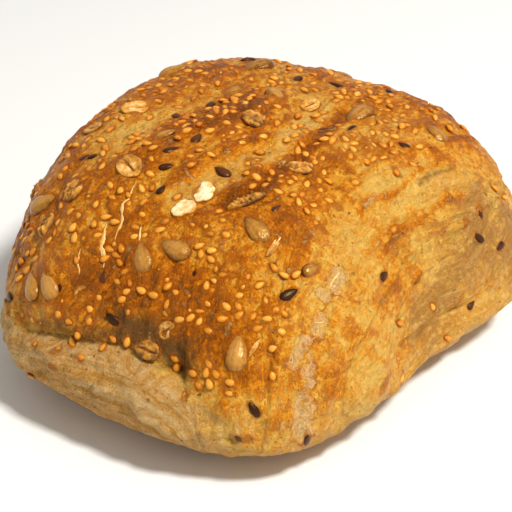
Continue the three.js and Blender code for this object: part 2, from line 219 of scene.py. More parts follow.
# Where the opened dough is tanned.
TANNED = [
    (0.9, 8, 7, [(-52, 24), (-58, 18), (-72, 13), (-84, 9)]),
    (0.4, 5, 5, [(-60, 28), (-78, 30)]),
    (0.9, 6, 6, [(-47, 13), (-54, 8)]),
    (0.5, 5, 5, [(178, -2), (-170, -2), (-160, -3)]),
]

# Rise down to which the crust carries seeds, by bearing.
SEEDED_DOWN_TO = [
    (-180, 12), (-164, 12), (-150, 7), (-139, 9), (-134, 24), (-114, 48), (-90, 54), (-68, 52), (-46, 38),
    (-26, 25), (10, 24), (40, 18), (80, 14), (120, 11), (165, 9), (180, 12),
]
SEEDED_BLUR = 9.0
# Rise up to which the pale foot of the torn end reaches, by bearing from 0 to 360.
PALE_FOOT_UP_TO = [
    (140, 4), (157, 6), (166, 9.3), (172, 11), (183, 13), (191, 11.5), (200, 9), (210, 6), (225, 3),
]
GRID_LIFT = 0.25  # how far the crust's grid is gathered upwards
CRACK_WIDTH = 1.3
BLISTER_SUNK = 0.3
UNDERSIDE = (-9.5, -12.8)  # heights from the heart between which the crust turns to the base's colour
HALO_WIDTH = 1.1  # toasted halo and painted contact shade round a seed
WELL_WIDTH = 0.7  # swelling of the crust round a seed
WELL_HEIGHT = 0.09  # the swelling's share of the seed's depth
HALO_SEARCH = 0.002  # metres beyond a seed's end that are searched for crust

# --------------------------------------------------------------------------------------------------
# Seeds and flakes, each as bearing, rise, turn of the long axis from level, and length.
# --------------------------------------------------------------------------------------------------

KERNEL_PLACES = [
    (-146, 18, 87, 8.8), (154, 16, 157, 8.6), (159, 19, 152, 8.5), (180, 35, 130, 7.7),
    (-171, 40, 172, 8.3), (-141, 49, 126, 8.3), (37, 46, 24, 9.1), (-22, 54, 110, 9.4),
    (49, 55, 29, 6), (122, 63, 106, 5.5), (-36, 38, 44, 7.7), (134, 28, 61, 9), (-123, 36, 21, 5),
    (12, 36, 40, 8.6), (64, 38, 150, 8.2), (80, 26, 75, 8.8), (98, 24, 20, 8.4), (24, 62, 130, 8),
]
# Flakes and grains also name how they look.
FLAKE_PLACES = [
    (96, 49, 118, 6.6, "oat"), (145, 52, 17, 7.4, "ring"), (-174, 60, 98, 6.1, "white"),
    (-177, 52, 69, 5.8, "shell"), (141, 37, 116, 6.2, "grain"), (144, 27, 138, 6.1, "grain"),
    (-169, 14, 178, 5.9, "bark"), (-165, 20, 42, 4.8, "ring"), (168, 21, 66, 3.6, "bark"),
    (108, 41, 73, 6, "ring"), (-93, 70, 108, 6.3, "grain"), (40, 78, 149, 6.4, "grain"),
    (30, 28, 60, 6.4, "shell"), (56, 24, 10, 6, "white"), (118, 22, 130, 6.2, "grain"),
    (2, 60, 80, 5.6, "ring"),
]
STRIP_PLACES = [
    (-147, 59, 18, 9.4, "husk"), (-134, 44, 49, 7, "splinter"), (-142, 19, 58, 4.4, "splinter"),
]
FLAX_PLACES = [
    (126, 41, 113, 3.4), (127, 43.5, 89, 3), (153, 60, 69, 3.6), (142, 64, 101, 4.4),
    (131, 72, 149, 3.8), (-175, 71, 176, 4.5), (94, 61, 64, 4), (166, 54, 98, 3.4),
    (172, 26, 105, 4), (-160, 35, 33, 4.2), (179, 18, 158, 4.4), (158, 25, 38, 3.4),
    (162, 20, 129, 3.2), (147, 9, 23, 4.6), (-142, 7, 125, 4), (-144, 1, 1, 3.9),
    (4, 48, 0, 4.8), (40, 40, 30, 4.6), (-46, 46, 67, 3.8), (-44, 39, 89, 3.2),
    (-132, 30.5, 25, 4.8), (-95, 27, 8, 4.2), (-92, 22, 175, 3.6), (-81, 20, 15, 3.2),
    (-66, 3, 8, 3), (-109, 3, 32, 4.2), (-131, -2, 85, 4.2), (-58, 18, 109, 4),
    (-54, 12, 169, 3.8), (-53, 22, 62, 3.6), (-130, 56, 34, 3.6), (-27, 65, 90, 3.8),
    (-36, 59, 125, 3.4), (20, 50, 70, 4.2), (55, 32, 120, 4), (84, 33, 160, 4.4),
    (98, 20, 30, 4.2), (70, 64, 45, 4), (28, 20, 100, 4.4), (-10, 40, 150, 4.2),
]
# How toasted each kernel is, in the order of the places.
KERNEL_TONES = [
    0.4, 0.3, 0.2, 0.5, 0.6, 0.8, 0.95, 0.8, 0.8, 0.6, 0.85, 0.35, 0.85, 0.5, 0.4, 0.6, 0.3, 0.5,
]
SESAME_LENGTH = 2.6
SESAME_SHORTEST, SESAME_SPREAD = 0.88, 0.24  # shares of that length
SESAME_LOWEST = 0.08  # sine of the lowest rise that is tried, below level
SESAME_TRIES = 6400
SESAME_SPACING = 1.9
SESAME_CLEAR = 1.2  # room between a large seed's end and the middle of a sesame seed
SESAME_ON_CUT = 0.01  # share of tries kept on the cut sides
SESAME_ON_SCORE = 0.3  # how far the scores thin the sesame
SESAME_THIN = 0.32  # share of tries kept where the crust is seeded, but not thickly
# Where the sesame lies thickest: share of tries kept, radius, and path.
SESAME_THICK = [
    (0.9, 6, [(114, 36), (104, 41), (90, 46), (84, 50)]),
    (0.9, 5, [(140, 60), (110, 68), (60, 70)]),
    (1.0, 7, [(0, 74), (30, 62), (30, 50)]),
    (1.0, 6, [(20, 46), (-4, 51), (-20, 48)]),
    (1.0, 6, [(-141, 63), (-110, 64), (-70, 64)]),
    (1.0, 7, [(-50, 62), (-42, 52), (-40, 46)]),
    (0.9, 7, [(-158, 36), (-146, 32), (-144, 24)]),
    (0.8, 7, [(170, 34), (-172, 30), (-160, 24)]),
    (0.8, 5, [(140, 18), (154, 14), (166, 16)]),
    (0.8, 5, [(-155, 12), (-146, 14), (-142, 18)]),
    (0.5, 4, [(158, 4), (164, 6), (172, 10), (-178, 12)]),
]
DRAW_SEED = 20251
OAT_LEAN = 24.0  # degrees that the rolled oats lean towards the torn corner
TORN_CORNER = (-142, 32)
NORMAL_STEP = 1.5  # half the span over which the crust's slope is measured


class SeedKind:
    """One kind of seed.

    Width and depth are shares of its length, sunk and sway shares of its depth: how deep it sits and how
    much that varies. Tilt is in degrees, and splits is how finely the seed is divided.
    """

    def __init__(self, width, depth, taper, sunk, splits=2, tip=0.0, groove=0.0, tilt=0.0, sway=0.0):
        self.width = width
        self.depth = depth
        self.taper = taper
        self.sunk = sunk
        self.splits = splits
        self.tip = tip
        self.groove = groove
        self.tilt = tilt
        self.sway = sway


KERNEL = SeedKind(0.56, 0.36, 0.14, 0.06, splits=5, tip=0.25, groove=0.07, tilt=8)
FLAKE = SeedKind(0.78, 0.16, 0.1, -0.3)
STRIP = SeedKind(0.24, 0.14, 0.1, -0.1)
FLAX = SeedKind(0.5, 0.28, 0.15, 0.04, splits=3, tip=0.18, groove=0.05, tilt=9)
SESAME = SeedKind(0.62, 0.42, 0.16, -0.2, tip=0.12, tilt=16, sway=0.4)
LARGE_SEEDS = [
    (KERNEL, KERNEL_PLACES), (FLAKE, FLAKE_PLACES), (STRIP, STRIP_PLACES), (FLAX, FLAX_PLACES),
]
WIDTHS = (0.9, 1.1)  # how far the widths of the seeds vary
DEPTHS = (0.9, 1.12)


def colour(name, description, default):
    """A colour property, linear red, green and blue."""
    return FloatVectorProperty(name=name, description=description, subtype="COLOR", size=3, default=default)


def number(name, description, default):
    """A plain number property."""
    return FloatProperty(name=name, description=description, default=default)


def metres(name, description, default):
    """A length property, in metres."""
    return FloatProperty(name=name, description=description, default=default, unit="LENGTH")


class LoafSizes(PropertyGroup):
    """Driving sizes of the loaf."""

    length: metres("Length", "Along X", 0.121)
    width: metres("Width", "Along Y", 0.106)
    height: metres("Height", "To the crown", 0.0545)
    belly: metres("Belly", "Height of the widest level", 0.0132)
    cells: IntProperty(
        name="Cells", description="Faces along each side of the crust's six fields", default=126
    )


class CrustColours(PropertyGroup):
    """Colours of the crust, from bare dough to the darkest bake."""

    cream: colour("Cream", "Lightest bake", (0.96, 0.58, 0.13))
    gold: colour("Gold", "Light bake", (0.94, 0.415, 0.038))
    amber: colour("Amber", "Middle bake", (0.78, 0.214, 0.002))
    brown: colour("Brown", "Dark bake", (0.48, 0.104, 0.002))
    dark: colour("Dark", "Darkest bake", (0.22, 0.042, 0.001))
    dough_brown: colour("Dough brown", "Shaded opened dough", (0.64, 0.28, 0.04))
    dough: colour("Dough", "Opened dough", (0.84, 0.40, 0.065))
    dough_light: colour("Dough light", "Lightest opened dough", (0.98, 0.62, 0.19))
    # Painted shade: the colour that darkens the hollows over their greyish unbaked dough, and streaks of
    # the tanned dough.
    dull: colour("Dull", "Hollows with raw flour", (0.15, 0.06, 0.023))
    tan: colour("Tan", "Opened dough of the long side", (0.46, 0.195, 0.047))
    bare: colour("Bare", "Floury dough of the foot", (0.79, 0.435, 0.185))
    web: colour("Web", "Floury threads and thin skin", (0.93, 0.69, 0.35))
    flour: colour("Flour", "Floury fibres of the blistered skin", (0.93, 0.73, 0.45))
    speck: colour("Speck", "Specks of bran", (0.16, 0.05, 0.012))
    # Painted shade at the bottom of the creases and cracks, and in the small pits.
    crease_shade: colour("Crease", "Bottom of the creases and cracks", (0.2, 0.075, 0.014))
    shine: number("Shine", "Strength of the crust's gloss", 0.75)
    gloss_tint: colour("Gloss tint", "Colour of the crust's gloss", (1.0, 0.64, 0.1))


class SeedColours(PropertyGroup):
    """Colours of the seeds and flakes, from pale to toasted."""

    sesame_pale: colour("Sesame pale", "Palest sesame", (0.88, 0.425, 0.075))
    sesame: colour("Sesame", "Sesame", (0.72, 0.27, 0.02))
    # Darkest sesame: toasted seeds, and the rims, which are darkened by toast and by painted contact shade.
    sesame_toast_and_shade: colour("Sesame toasted", "Rims of the sesame", (0.36, 0.085, 0.002))
    kernel_pale: colour("Kernel pale", "Palest kernels", (0.60, 0.31, 0.08))
    kernel: colour("Kernel", "Kernels", (0.43, 0.185, 0.027))
    # Darkest kernels: toasted kernels, and the rims, which are darkened by toast and by painted contact
    # shade.
    kernel_toast_and_shade: colour("Kernel toasted", "Rims of the kernels", (0.14, 0.04, 0.004))
    flax_light: colour("Flax light", "Lightest flax", (0.12, 0.035, 0.012))
    flax: colour("Flax", "Flax", (0.045, 0.012, 0.005))
    flax_dark: colour("Flax dark", "Darkest flax", (0.014, 0.004, 0.002))
    flake_white: colour("Flake white", "Floury flakes", (0.92, 0.76, 0.52))
    flake: colour("Flake", "Rolled oats", (0.80, 0.50, 0.18))
    flake_toasted: colour("Flake toasted", "Toasted flakes", (0.62, 0.26, 0.03))
    bran: colour("Bran", "Cracked grains and bran", (0.33, 0.14, 0.03))
    bran_dark: colour("Bran dark", "Grooves of the grains", (0.10, 0.03, 0.008))
    gloss_tint: colour("Gloss tint", "Colour of the seeds' gloss", (1.0, 0.76, 0.4))


class StageLooks(PropertyGroup):
    """Camera, light and floor."""

    aim: FloatVectorProperty(
        name="Aim", description="Point that the camera looks at", subtype="XYZ", unit="LENGTH",
        default=(0.0088, 0.0061, 0.0138),
    )
    azimuth: number("Azimuth", "Camera's degrees round from -Y", -52.0)
    elevation: number("Elevation", "Camera's degrees above level", 32.0)
    distance: metres("Distance", "From aim to camera", 0.4)
    lens: number("Lens", "Focal length in millimetres", 109.97)
    key: number("Key light", "Power of the large light, in watts", 8.7)
    key_size: metres("Key size", "Width of the light", 0.15)
    key_distance: metres("Key distance", "From aim", 0.9)
    key_azimuth: number("Key azimuth", "Light's degrees round from -Y", 0.0)
    key_elevation: number("Key elevation", "Degrees above level", 58.0)
    key_colour: colour("Key colour", "Colour of the large light", (1.0, 0.96, 0.88))
    fill: number("Fill", "Strength of the light from all round", 0.46)
    fill_colour: colour("Fill colour", "Colour of the light from all round", (1.0, 0.97, 0.90))
    floor: colour("Floor", "Pale floor", (0.86, 0.875, 0.90))
    floor_side: metres("Floor side", "Length of a side", 6.0)


# --------------------------------------------------------------------------------------------------
# Form of the loaf
# --------------------------------------------------------------------------------------------------


def direction(bearing, rise):
    """Unit vector towards a place, or an array of them."""
    b, r = np.radians(bearing), np.radians(rise)
    return np.stack([np.cos(b) * np.cos(r), np.sin(b) * np.cos(r), np.sin(r)], -1)


def unit(vectors):
    """Vectors scaled to length one."""
    return vectors / np.linalg.norm(vectors, axis=-1, keepdims=True)


def bearing_and_rise(towards):
    """Degrees of bearing and rise of unit vectors."""
    bearing = np.degrees(np.arctan2(towards[:, 1], towards[:, 0]))
    return bearing, np.degrees(np.arcsin(np.clip(towards[:, 2], -1, 1)))


def smooth_points(towards):
    """Surface of the smooth loaf in these directions, in millimetres from the heart."""
    sizes = bpy.context.scene.loaf_sizes
    half_length, half_width = sizes.length / MM / 2, sizes.width / MM / 2
    belly, height = sizes.belly / MM, sizes.height / MM
    bearing = np.arctan2(towards[:, 1], towards[:, 0])
    swell = 1 + sum(
        share * np.cos(lobes * (bearing - math.radians(at))) for lobes, share, at in PLAN_SWELLS
    )
    near = np.zeros(len(towards))
    far = np.full(len(towards), 2 * half_length)
    for _ in range(HALVINGS):
        middle = (near + far) / 2
        x, y, z = (towards * middle[:, None]).T
        up = z / (height - belly)
        lean = np.maximum(up, 0) ** LEAN_BEND
        across = np.abs(x - LEAN_X * lean) / half_length
        along = np.abs(y - LEAN_Y * lean) / half_width
        out = (across**PLAN_FULLNESS + along**PLAN_FULLNESS) ** (1 / PLAN_FULLNESS) / swell
        upper = out**UPPER_WALL + np.abs(up) ** UPPER_CROWN
        lower = out**LOWER_WALL + (np.abs(z) / (belly * LOWER_DEPTH)) ** LOWER_CURVE
        inside = (np.where(up > 0, upper, lower) < 1) & (z > -belly)
        near = np.where(inside, middle, near)
        far = np.where(inside, far, middle)
    return towards * near[:, None]


def beside_path(points, path):
    """Distance of points to a path, whether they lie to its left, seen from outside, and how far along."""
    corners = smooth_points(direction(*np.array(path, float).T))
    best = np.full(len(points), np.inf)
    left = np.ones(len(points), bool)
    along = np.zeros(len(points))
    passed = 0.0
    for start, end in zip(corners[:-1], corners[1:]):
        step, offset = end - start, points - start
        reached = np.clip(offset @ step / (step @ step), 0, 1)
        distance = np.linalg.norm(offset - reached[:, None] * step, axis=1)
        nearer = distance < best
        best = np.where(nearer, distance, best)
        left = np.where(nearer, (np.cross(step, offset) * points).sum(1) > 0, left)
        along = np.where(nearer, passed + reached * np.linalg.norm(step), along)
        passed += np.linalg.norm(step)
    return best, left, along


def along_paths(points, features):
    """Sum of the features' heights at these points."""
    total = np.zeros(len(points))
    for height, left_reach, right_reach, path in features:
        distance, left, _ = beside_path(points, path)
        total += height * np.exp(-((distance / np.where(left, left_reach, right_reach)) ** 2))
    return total


def with_the_pull(points):
    """Where points lie across and along the nearest line of pull, in millimetres."""
    best = np.full(len(points), np.inf)
    across = np.zeros(len(points))
    along = np.zeros(len(points))
    for path in PULLS:
        distance, left, passed = beside_path(points, path)
        nearer = distance < best
        best = np.where(nearer, distance, best)
        across = np.where(nearer, np.where(left, distance, -distance), across)
        along = np.where(nearer, passed, along)
    return across, along


def above_foot(points):
    """0 on the base and 1 from a little above it, where the relief is whole."""
    return np.clip((points[:, 2] + HEART[2]) / FOOT, 0, 1)


def relief(points):
    """How far the crust stands off the smooth loaf."""
    lumps = LUMP_HEIGHT * np.prod(np.sin(2 * np.pi * points / LUMP_SPANS + LUMP_SHIFTS), axis=1)
    height = lumps + along_paths(points, SCORES + FOLDS + SWELLINGS)
    return height * above_foot(points)


def raised(points, *heights):
    """Points of the smooth loaf moved outwards by these heights, in millimetres from the heart."""
    length = np.linalg.norm(points, axis=1)
    return points * (sum(heights, length) / length)[:, None]


def crust_points(towards):
    """The crust in these directions, in millimetres from the heart."""
    points = smooth_points(towards)
    return raised(points, relief(points))


LATTICE_FACTORS = np.array([73856093, 19349663, 83492791])
LATTICE_SEED = 2654435


def hashed(cells, seed):
    """A fixed draw from 0 to 1 for each lattice cell."""
    mixed = np.bitwise_xor.reduce(cells * LATTICE_FACTORS, axis=-1) ^ seed * LATTICE_SEED
    mixed = (mixed ^ (mixed >> 13)) * 1274126177 & 0x7FFFFFFF
    return (mixed ^ (mixed >> 16)) % 65536 / 65535.0


def noise(points, span, seed):
    """Smooth noise from -1 to 1 whose lumps are about span long."""
    scaled = points / span
    cell = np.floor(scaled).astype(np.int64)
    part = scaled - cell
    part = part * part * (3 - 2 * part)
    total = np.zeros(len(points))
    for corner in range(8):
        step = np.array([corner & 1, corner >> 1 & 1, corner >> 2 & 1])
        weight = np.prod(np.where(step, part, 1 - part), axis=1)
        total += weight * hashed(cell + step, seed)
    return 2 * total - 1


def smoothstep(value, low, high):
    """0 below low, 1 above high and smooth between."""
    part = np.clip((value - low) / (high - low), 0, 1)
    return part * part * (3 - 2 * part)


def facing(bearing, middle, low, high):
    """1 near a bearing and 0 away from it: low and high are cosines of the angle between."""
    return smoothstep(np.cos(np.radians(bearing - middle)), low, high)


def above_pale_foot(bearing, rise):
    """Degrees that places lie above the upper edge of the pale foot."""
    return rise - np.interp(bearing % 360, *np.array(PALE_FOOT_UP_TO, float).T)


def seeded_share(bearing, rise):
    """How readily the crust carries seeds, from 0 on the cut sides to 1."""
    lowest = np.interp(bearing, *np.array(SEEDED_DOWN_TO, float).T)
    return np.clip((rise - lowest) / SEEDED_BLUR + 0.5, 0, 1)


# --------------------------------------------------------------------------------------------------
# Places of the seeds
# --------------------------------------------------------------------------------------------------


class Draw:
    """A seeded draw that gives the same numbers wherever it runs."""

    FACTOR, STEP, ROOM = 1664525, 1013904223, 2**32

    def __init__(self, seed):
        self.state = seed

    def __call__(self):
        self.state = (self.state * self.FACTOR + self.STEP) % self.ROOM
        return self.state / self.ROOM

    def between(self, low, high):
        """A number from low to high."""
        return low + (high - low) * self()


def sesame_share(bearing, rise):
    """Share of the tries at these places that leave a sesame seed."""
    points = smooth_points(direction(bearing, rise))
    thick = np.full(len(points), SESAME_THIN)
    for share, radius, path in SESAME_THICK:
        distance = beside_path(points, path)[0]
        thick = np.maximum(thick, share * np.exp(-((distance / radius) ** 2)))
    share = seeded_share(bearing, rise) * thick
    for score in SCORES:
        distance = beside_path(points, score[3])[0]
        share = np.where(distance < score[1], share * SESAME_ON_SCORE, share)
    return points, np.maximum(share, SESAME_ON_CUT)


def strew_sesame():
    """Places of the sesame, kept where the crust carries seeds and apart from each other."""
    large = np.array([place[:4] for _, places in LARGE_SEEDS for place in places])
    taken = list(smooth_points(direction(large[:, 0], large[:, 1])))
    clear = list(large[:, 3] / 2 + SESAME_CLEAR)
    draw = Draw(DRAW_SEED)
    tries = []
    for _ in range(SESAME_TRIES):
        bearing = 360 * draw() - 180
        rise = math.degrees(math.asin(draw.between(-SESAME_LOWEST, 1)))
        turn = 180 * draw()
        length = SESAME_LENGTH * (SESAME_SHORTEST + SESAME_SPREAD * draw())
        tries.append((bearing, rise, turn, length, draw()))
    tries = np.array(tries)
    points, share = sesame_share(tries[:, 0], tries[:, 1])
    places = []
    for row, point, chance in zip(tries, points, share):
        if row[4] > chance or (np.linalg.norm(np.array(taken) - point, axis=1) < clear).any():
            continue
        taken.append(point)
        clear.append(SESAME_SPACING)
        places.append(tuple(row[:4]))
    return places


def lay_on_crust(kind, places):
    """Matrices in metres that lay unit seeds on the crust: X along each, Z out of the crust."""
    rows = np.array([place[:4] for place in places], float)
    towards = direction(rows[:, 0], rows[:, 1])
    middle = crust_points(towards)
    level = unit(np.cross([0.0, 0.0, 1.0], towards))
    upward = np.cross(towards, level)
    span = (NORMAL_STEP / np.linalg.norm(middle, axis=1))[:, None]
    eastward = crust_points(unit(towards + span * level)) - crust_points(unit(towards - span * level))
    northward = crust_points(unit(towards + span * upward)) - crust_points(unit(towards - span * upward))
    out = unit(np.cross(eastward, northward))
    first = unit(level - (level * out).sum(1, keepdims=True) * out)
    second = np.cross(out, first)
    turn = np.radians(rows[:, 2])[:, None]
    along = first * np.cos(turn) + second * np.sin(turn)
    aside = np.cross(out, along)
    draw = Draw(len(rows))
    sunk = np.array([kind.sunk + kind.sway * draw() for _ in rows])[:, None]
    centre = middle - out * sunk * kind.depth * rows[:, 3:4] + HEART
    matrices = []
    for i in range(len(rows)):
        basis = Matrix(np.stack([along[i], aside[i], out[i]], 1).tolist())
        pitch = Matrix.Rotation(math.radians(draw.between(-kind.tilt, kind.tilt)), 3, "Y")
        roll = Matrix.Rotation(math.radians(draw.between(-kind.tilt, kind.tilt)), 3, "X")
        laid = (basis @ pitch @ roll).to_4x4()
        laid.translation = Vector(centre[i] * MM)
        matrices.append(laid)
    return matrices


# --------------------------------------------------------------------------------------------------
# Shader expressions
# --------------------------------------------------------------------------------------------------


class Value:
    """A shader socket that takes part in Python expressions, each of which adds a Math node."""

    def __init__(self, shader, socket):
        self.shader = shader
        self.socket = socket

    def combined(self, operation, *others):
        """The result of a Math node on this value and others."""
        return self.shader.add("ShaderNodeMath", {"operation": operation}, dict(enumerate((self, *others))))

    def __add__(self, other):
        return self.combined("ADD", other)

    __radd__ = __add__

    def __mul__(self, other):
        return self.combined("MULTIPLY", other)

    __rmul__ = __mul__

    def __sub__(self, other):
        return self.combined("SUBTRACT", other)

    def __rsub__(self, other):
        return (self * -1).combined("ADD", other)

    def __abs__(self):
        return self.combined("ABSOLUTE")

    def between(self, low, high):
        """0 below low, 1 above high, smooth between."""
        return self.shader.add(
            "ShaderNodeMapRange", {"interpolation_type": "SMOOTHSTEP"}, {"Value": self, 1: low, 2: high}
        )


class Shader:
    """A material whose nodes are added by code."""

    def __init__(self, name):
        self.material = bpy.data.materials.new(name)
        self.material.use_nodes = True
        self.tree = self.material.node_tree
        self.tree.nodes.clear()

    def add(self, kind, settings, sockets, output=0):
        """A node of any kind: its settings first, then the values or links of its sockets."""
        node = self.tree.nodes.new(kind)
        for key, value in settings.items():
            if key == "stops":
                fill_ramp(node.color_ramp, value)
            else:
                setattr(node, key, value)
        for key, value in sockets.items():
            if isinstance(value, Value):
                self.tree.links.new(value.socket, node.inputs[key])
            else:
                node.inputs[key].default_value = value
        return Value(self, node.outputs[output])

    def attribute(self, name):
        """A number kept on the mesh."""
        return self.add("ShaderNodeAttribute", {"attribute_name": name}, {}, "Fac")

    def place(self):
        """The piece's own coordinates."""
        return self.add("ShaderNodeTexCoord", {}, {}, "Object")

    def noise(self, scale, detail=3.0, rough=0.55, place=None, warp=0.0):
        """Noise from 0 to 1, scale in lumps per metre."""
        place = place or self.place()
        return self.add(
            "ShaderNodeTexNoise", {},
            {"Vector": place, "Scale": scale, "Detail": detail, "Roughness": rough, "Distortion": warp},
        )

    def ramp(self, value, stops):
        """A colour that follows a value through evenly spaced stops."""
        return self.add("ShaderNodeValToRGB", {"stops": stops}, {"Fac": value})

    def mix(self, share, first, second):
        """Colours mixed by a share."""
        return self.add(
            "ShaderNodeMix", {"data_type": "RGBA", "clamp_factor": True},
            {0: share, 6: as_colour(first), 7: as_colour(second)}, 2,
        )

    def bump(self, height, distance, strength=1.0, below=None):
        """A normal bent by a height; distance is in metres."""
        sockets = {"Height": height, "Strength": strength, "Distance": distance}
        if below is not None:
            sockets["Normal"] = below
        return self.add("ShaderNodeBump", {}, sockets)

    def finish(self, **sockets):
        """Closes the material with a Principled shader."""
        named = {key.replace("_", " "): value for key, value in sockets.items()}
        surface = self.add("ShaderNodeBsdfPrincipled", {}, named)
        output = self.tree.nodes.new("ShaderNodeOutputMaterial")
        self.tree.links.new(surface.socket, output.inputs["Surface"])
        return self.material


def fill_ramp(ramp, stops):
    """Spreads colours evenly over a ramp."""
    while len(ramp.elements) < len(stops):
        ramp.elements.new(1.0)
    for i, colour in enumerate(stops):
        ramp.elements[i].position = i / (len(stops) - 1)
        ramp.elements[i].color = as_colour(colour)


def as_colour(value):
    """A colour with alpha, or the value itself where it is a link."""
    if isinstance(value, Value):
        return value
    return (*tuple(value)[:3], 1.0)


MARKS = (
    "toast", "pale", "tanned", "bare", "dull", "near_seed", "blister", "crack", "under", "across", "along",
)


class CrustSkin:
    """The crust's material, its colour laid on bit by bit.

    The noises kept here lie round 0, from broad to fine. Streaks and layers are drawn out along the pull of
    the dough.
    """

    def __init__(self, look):
        self.look = look
        self.shader = shader = Shader("crust")
        self.marks = SimpleNamespace(**{name: shader.attribute(name) for name in MARKS})
        self.pulled = self.pulled_place(0.12)
        self.broad = shader.noise(75, 2, 0.5, warp=0.8) - 0.5
        self.patchy = shader.noise(230, 5, 0.64, warp=1.2) - 0.5
        self.mottle = shader.noise(620, 5, 0.66, warp=0.8) - 0.5
        self.fine = shader.noise(2300, 4, 0.7) - 0.5
        self.streaks = shader.noise(560, 5, 0.66, self.pulled, 0.4) - 0.5
        self.layers = shader.noise(520, 4, 0.62, self.pulled_place(0.07), 0.15) - 0.5 + self.mottle * 0.2
        self.lines = self.streaks + self.mottle * 0.3
        self.dashes = self.lines.between(-0.07, 0.08) - 0.5
        self.pits = shader.add("ShaderNodeTexVoronoi", {}, {"Vector": shader.place(), "Scale": 150.0})
        self.colour = self.baked()

    def pulled_place(self, share):
        """Coordinates across and along the pull, the latter shortened to a share."""
        return self.shader.add(
            "ShaderNodeCombineXYZ", {}, {0: self.marks.across, 1: self.marks.along * share}
        )

    def lay(self, share, colour):
        """Lays a colour over what is there."""
        self.colour = self.shader.mix(share, self.colour, colour)

    def baked(self):
        """Toasted skin, mottled from cream to dark."""
        look = self.look
        patches = (self.patchy + self.broad * 0.4 + self.mottle * 0.3).between(-0.09, 0.1) - 0.5
        spread = patches * 0.2 + self.dashes * 0.12 + self.patchy * 0.75 + self.mottle
        spread = spread + self.streaks * 0.5 + self.fine * 0.8
        uneven = self.marks.toast.between(0.1, 0.5) * 0.12 + 0.88
        share = self.marks.toast + spread * uneven + self.broad * 0.4
        return self.shader.ramp(share, (look.cream, look.gold, look.amber, look.brown, look.dark))

    def open_dough(self):
        """The stretched, streaked and tanned dough of the cut sides, with painted highlights and shade
        along its fibres.
        """
        look, marks = self.look, self.marks
        dough = 0.55 + self.patchy * 1.2 + self.mottle * 1.4 + self.dashes * 0.3 + self.fine * 1.1
        soft = self.shader.ramp(dough, (look.dough_brown, look.dough, look.dough_light))
        opened = marks.pale + self.patchy * 1.5 + self.mottle * 1.6 + self.streaks * 1.2
        self.lay(opened.between(0.34, 0.66) * 0.85, soft)
        tanned = marks.tanned + self.broad + self.patchy * 1.8 + self.mottle
        self.lay(tanned.between(0.15, 1.0) * 0.85, look.tan)
        smooth_side = marks.toast.between(0.46, 0.2) * 0.4
        # Thin light and dark lines along the pull: painted highlights and shade on the dough's fine fibres.
        self.lay(self.lines.between(0.03, 0.11) * smooth_side, look.dough_light)
        self.lay(self.lines.between(-0.04, -0.12) * smooth_side, look.dough_brown)

    def flour_foot(self):
        """The floury, layered foot, and painted shade in the hollows and in streaks of the tanned dough."""
        look, marks = self.look, self.marks
        bare = marks.bare + self.patchy * 2 + self.mottle * 2 + self.streaks
        self.lay(bare.between(0.1, 1.1) * 0.6, look.bare)
        # Painted shade in the hollows.
        dull = marks.dull + self.patchy * 0.7 + self.mottle * 0.6
        self.lay(dull.between(0.1, 0.9) * 0.94, look.dull)
        shaded = (self.streaks + self.patchy * 0.4).between(-0.05, -0.16)
        self.lay(shaded * marks.tanned * 0.6, look.dull)
        self.lay(self.layers.between(0.01, 0.1) * marks.bare * 0.5, look.web)
        self.lay(self.layers.between(-0.01, -0.1) * marks.bare * 0.85, look.dough_brown)

    def blister(self):
        """Thin blistered skin with floury fibres and a toasted outline."""
        look = self.look
        edge = self.marks.blister + self.mottle * 1.4 + self.patchy * 2.0
        thin = self.shader.ramp(0.5 + self.mottle * 2.5 + self.fine, (look.tan, look.dough, look.bare))
        self.lay(edge.between(-0.05, 0.7) * 0.6, thin)
        fibres = 1 - abs(self.shader.noise(760, 4, 0.65, warp=1.8) - 0.5) * 14
        self.lay(edge.between(-0.15, 0.5) * fibres.between(0.0, 0.9) * 0.8, look.flour)
        outline = edge.between(-0.24, 0.0) * edge.between(0.26, 0.04)
        self.lay(outline * (0.45 + self.patchy * 5), look.brown)

    def speckle(self):
        """Toasted halos with painted contact shade round the seeds, painted shade in the cracks and pits,
        pale flecks, brown spots and bran.
        """
        look, marks = self.look, self.marks
        # Toasted halo and painted contact shade round each seed.
        halo_toast_and_shade = marks.near_seed + self.mottle * 0.8 + self.fine * 0.3
        self.lay(halo_toast_and_shade.between(0.35, 1.0) * 0.75, look.brown)
        # Painted shade along the creases.
        crack = marks.crack + self.mottle * 0.8 + self.fine * 0.5
        self.lay(crack.between(0.45, 1.0) * 0.7, look.crease_shade)
        flecks = self.mottle * 0.8 + self.dashes * 0.04 + self.fine * 0.6
        self.lay(flecks.between(0.1, 0.16) * (0.3 + marks.pale * 0.3), look.dough_light)
        spots = self.shader.noise(840, 2, 0.55, warp=0.6) + self.fine * 0.2
        self.lay(spots.between(0.63, 0.7) * 0.4, look.brown)
        # Painted shade in small pits.
        self.lay((self.pits + self.fine * 0.08).between(0.09, 0.05) * 0.6, look.crease_shade)
        self.lay(self.shader.noise(950, 1, 0.5).between(0.74, 0.77) * 0.8, look.speck)

    def underside(self):
        """The evenly browned base."""
        look = self.look
        share = 0.6 + self.patchy + self.mottle
        self.lay(self.marks.under, self.shader.ramp(share, (look.dough, look.amber, look.brown)))

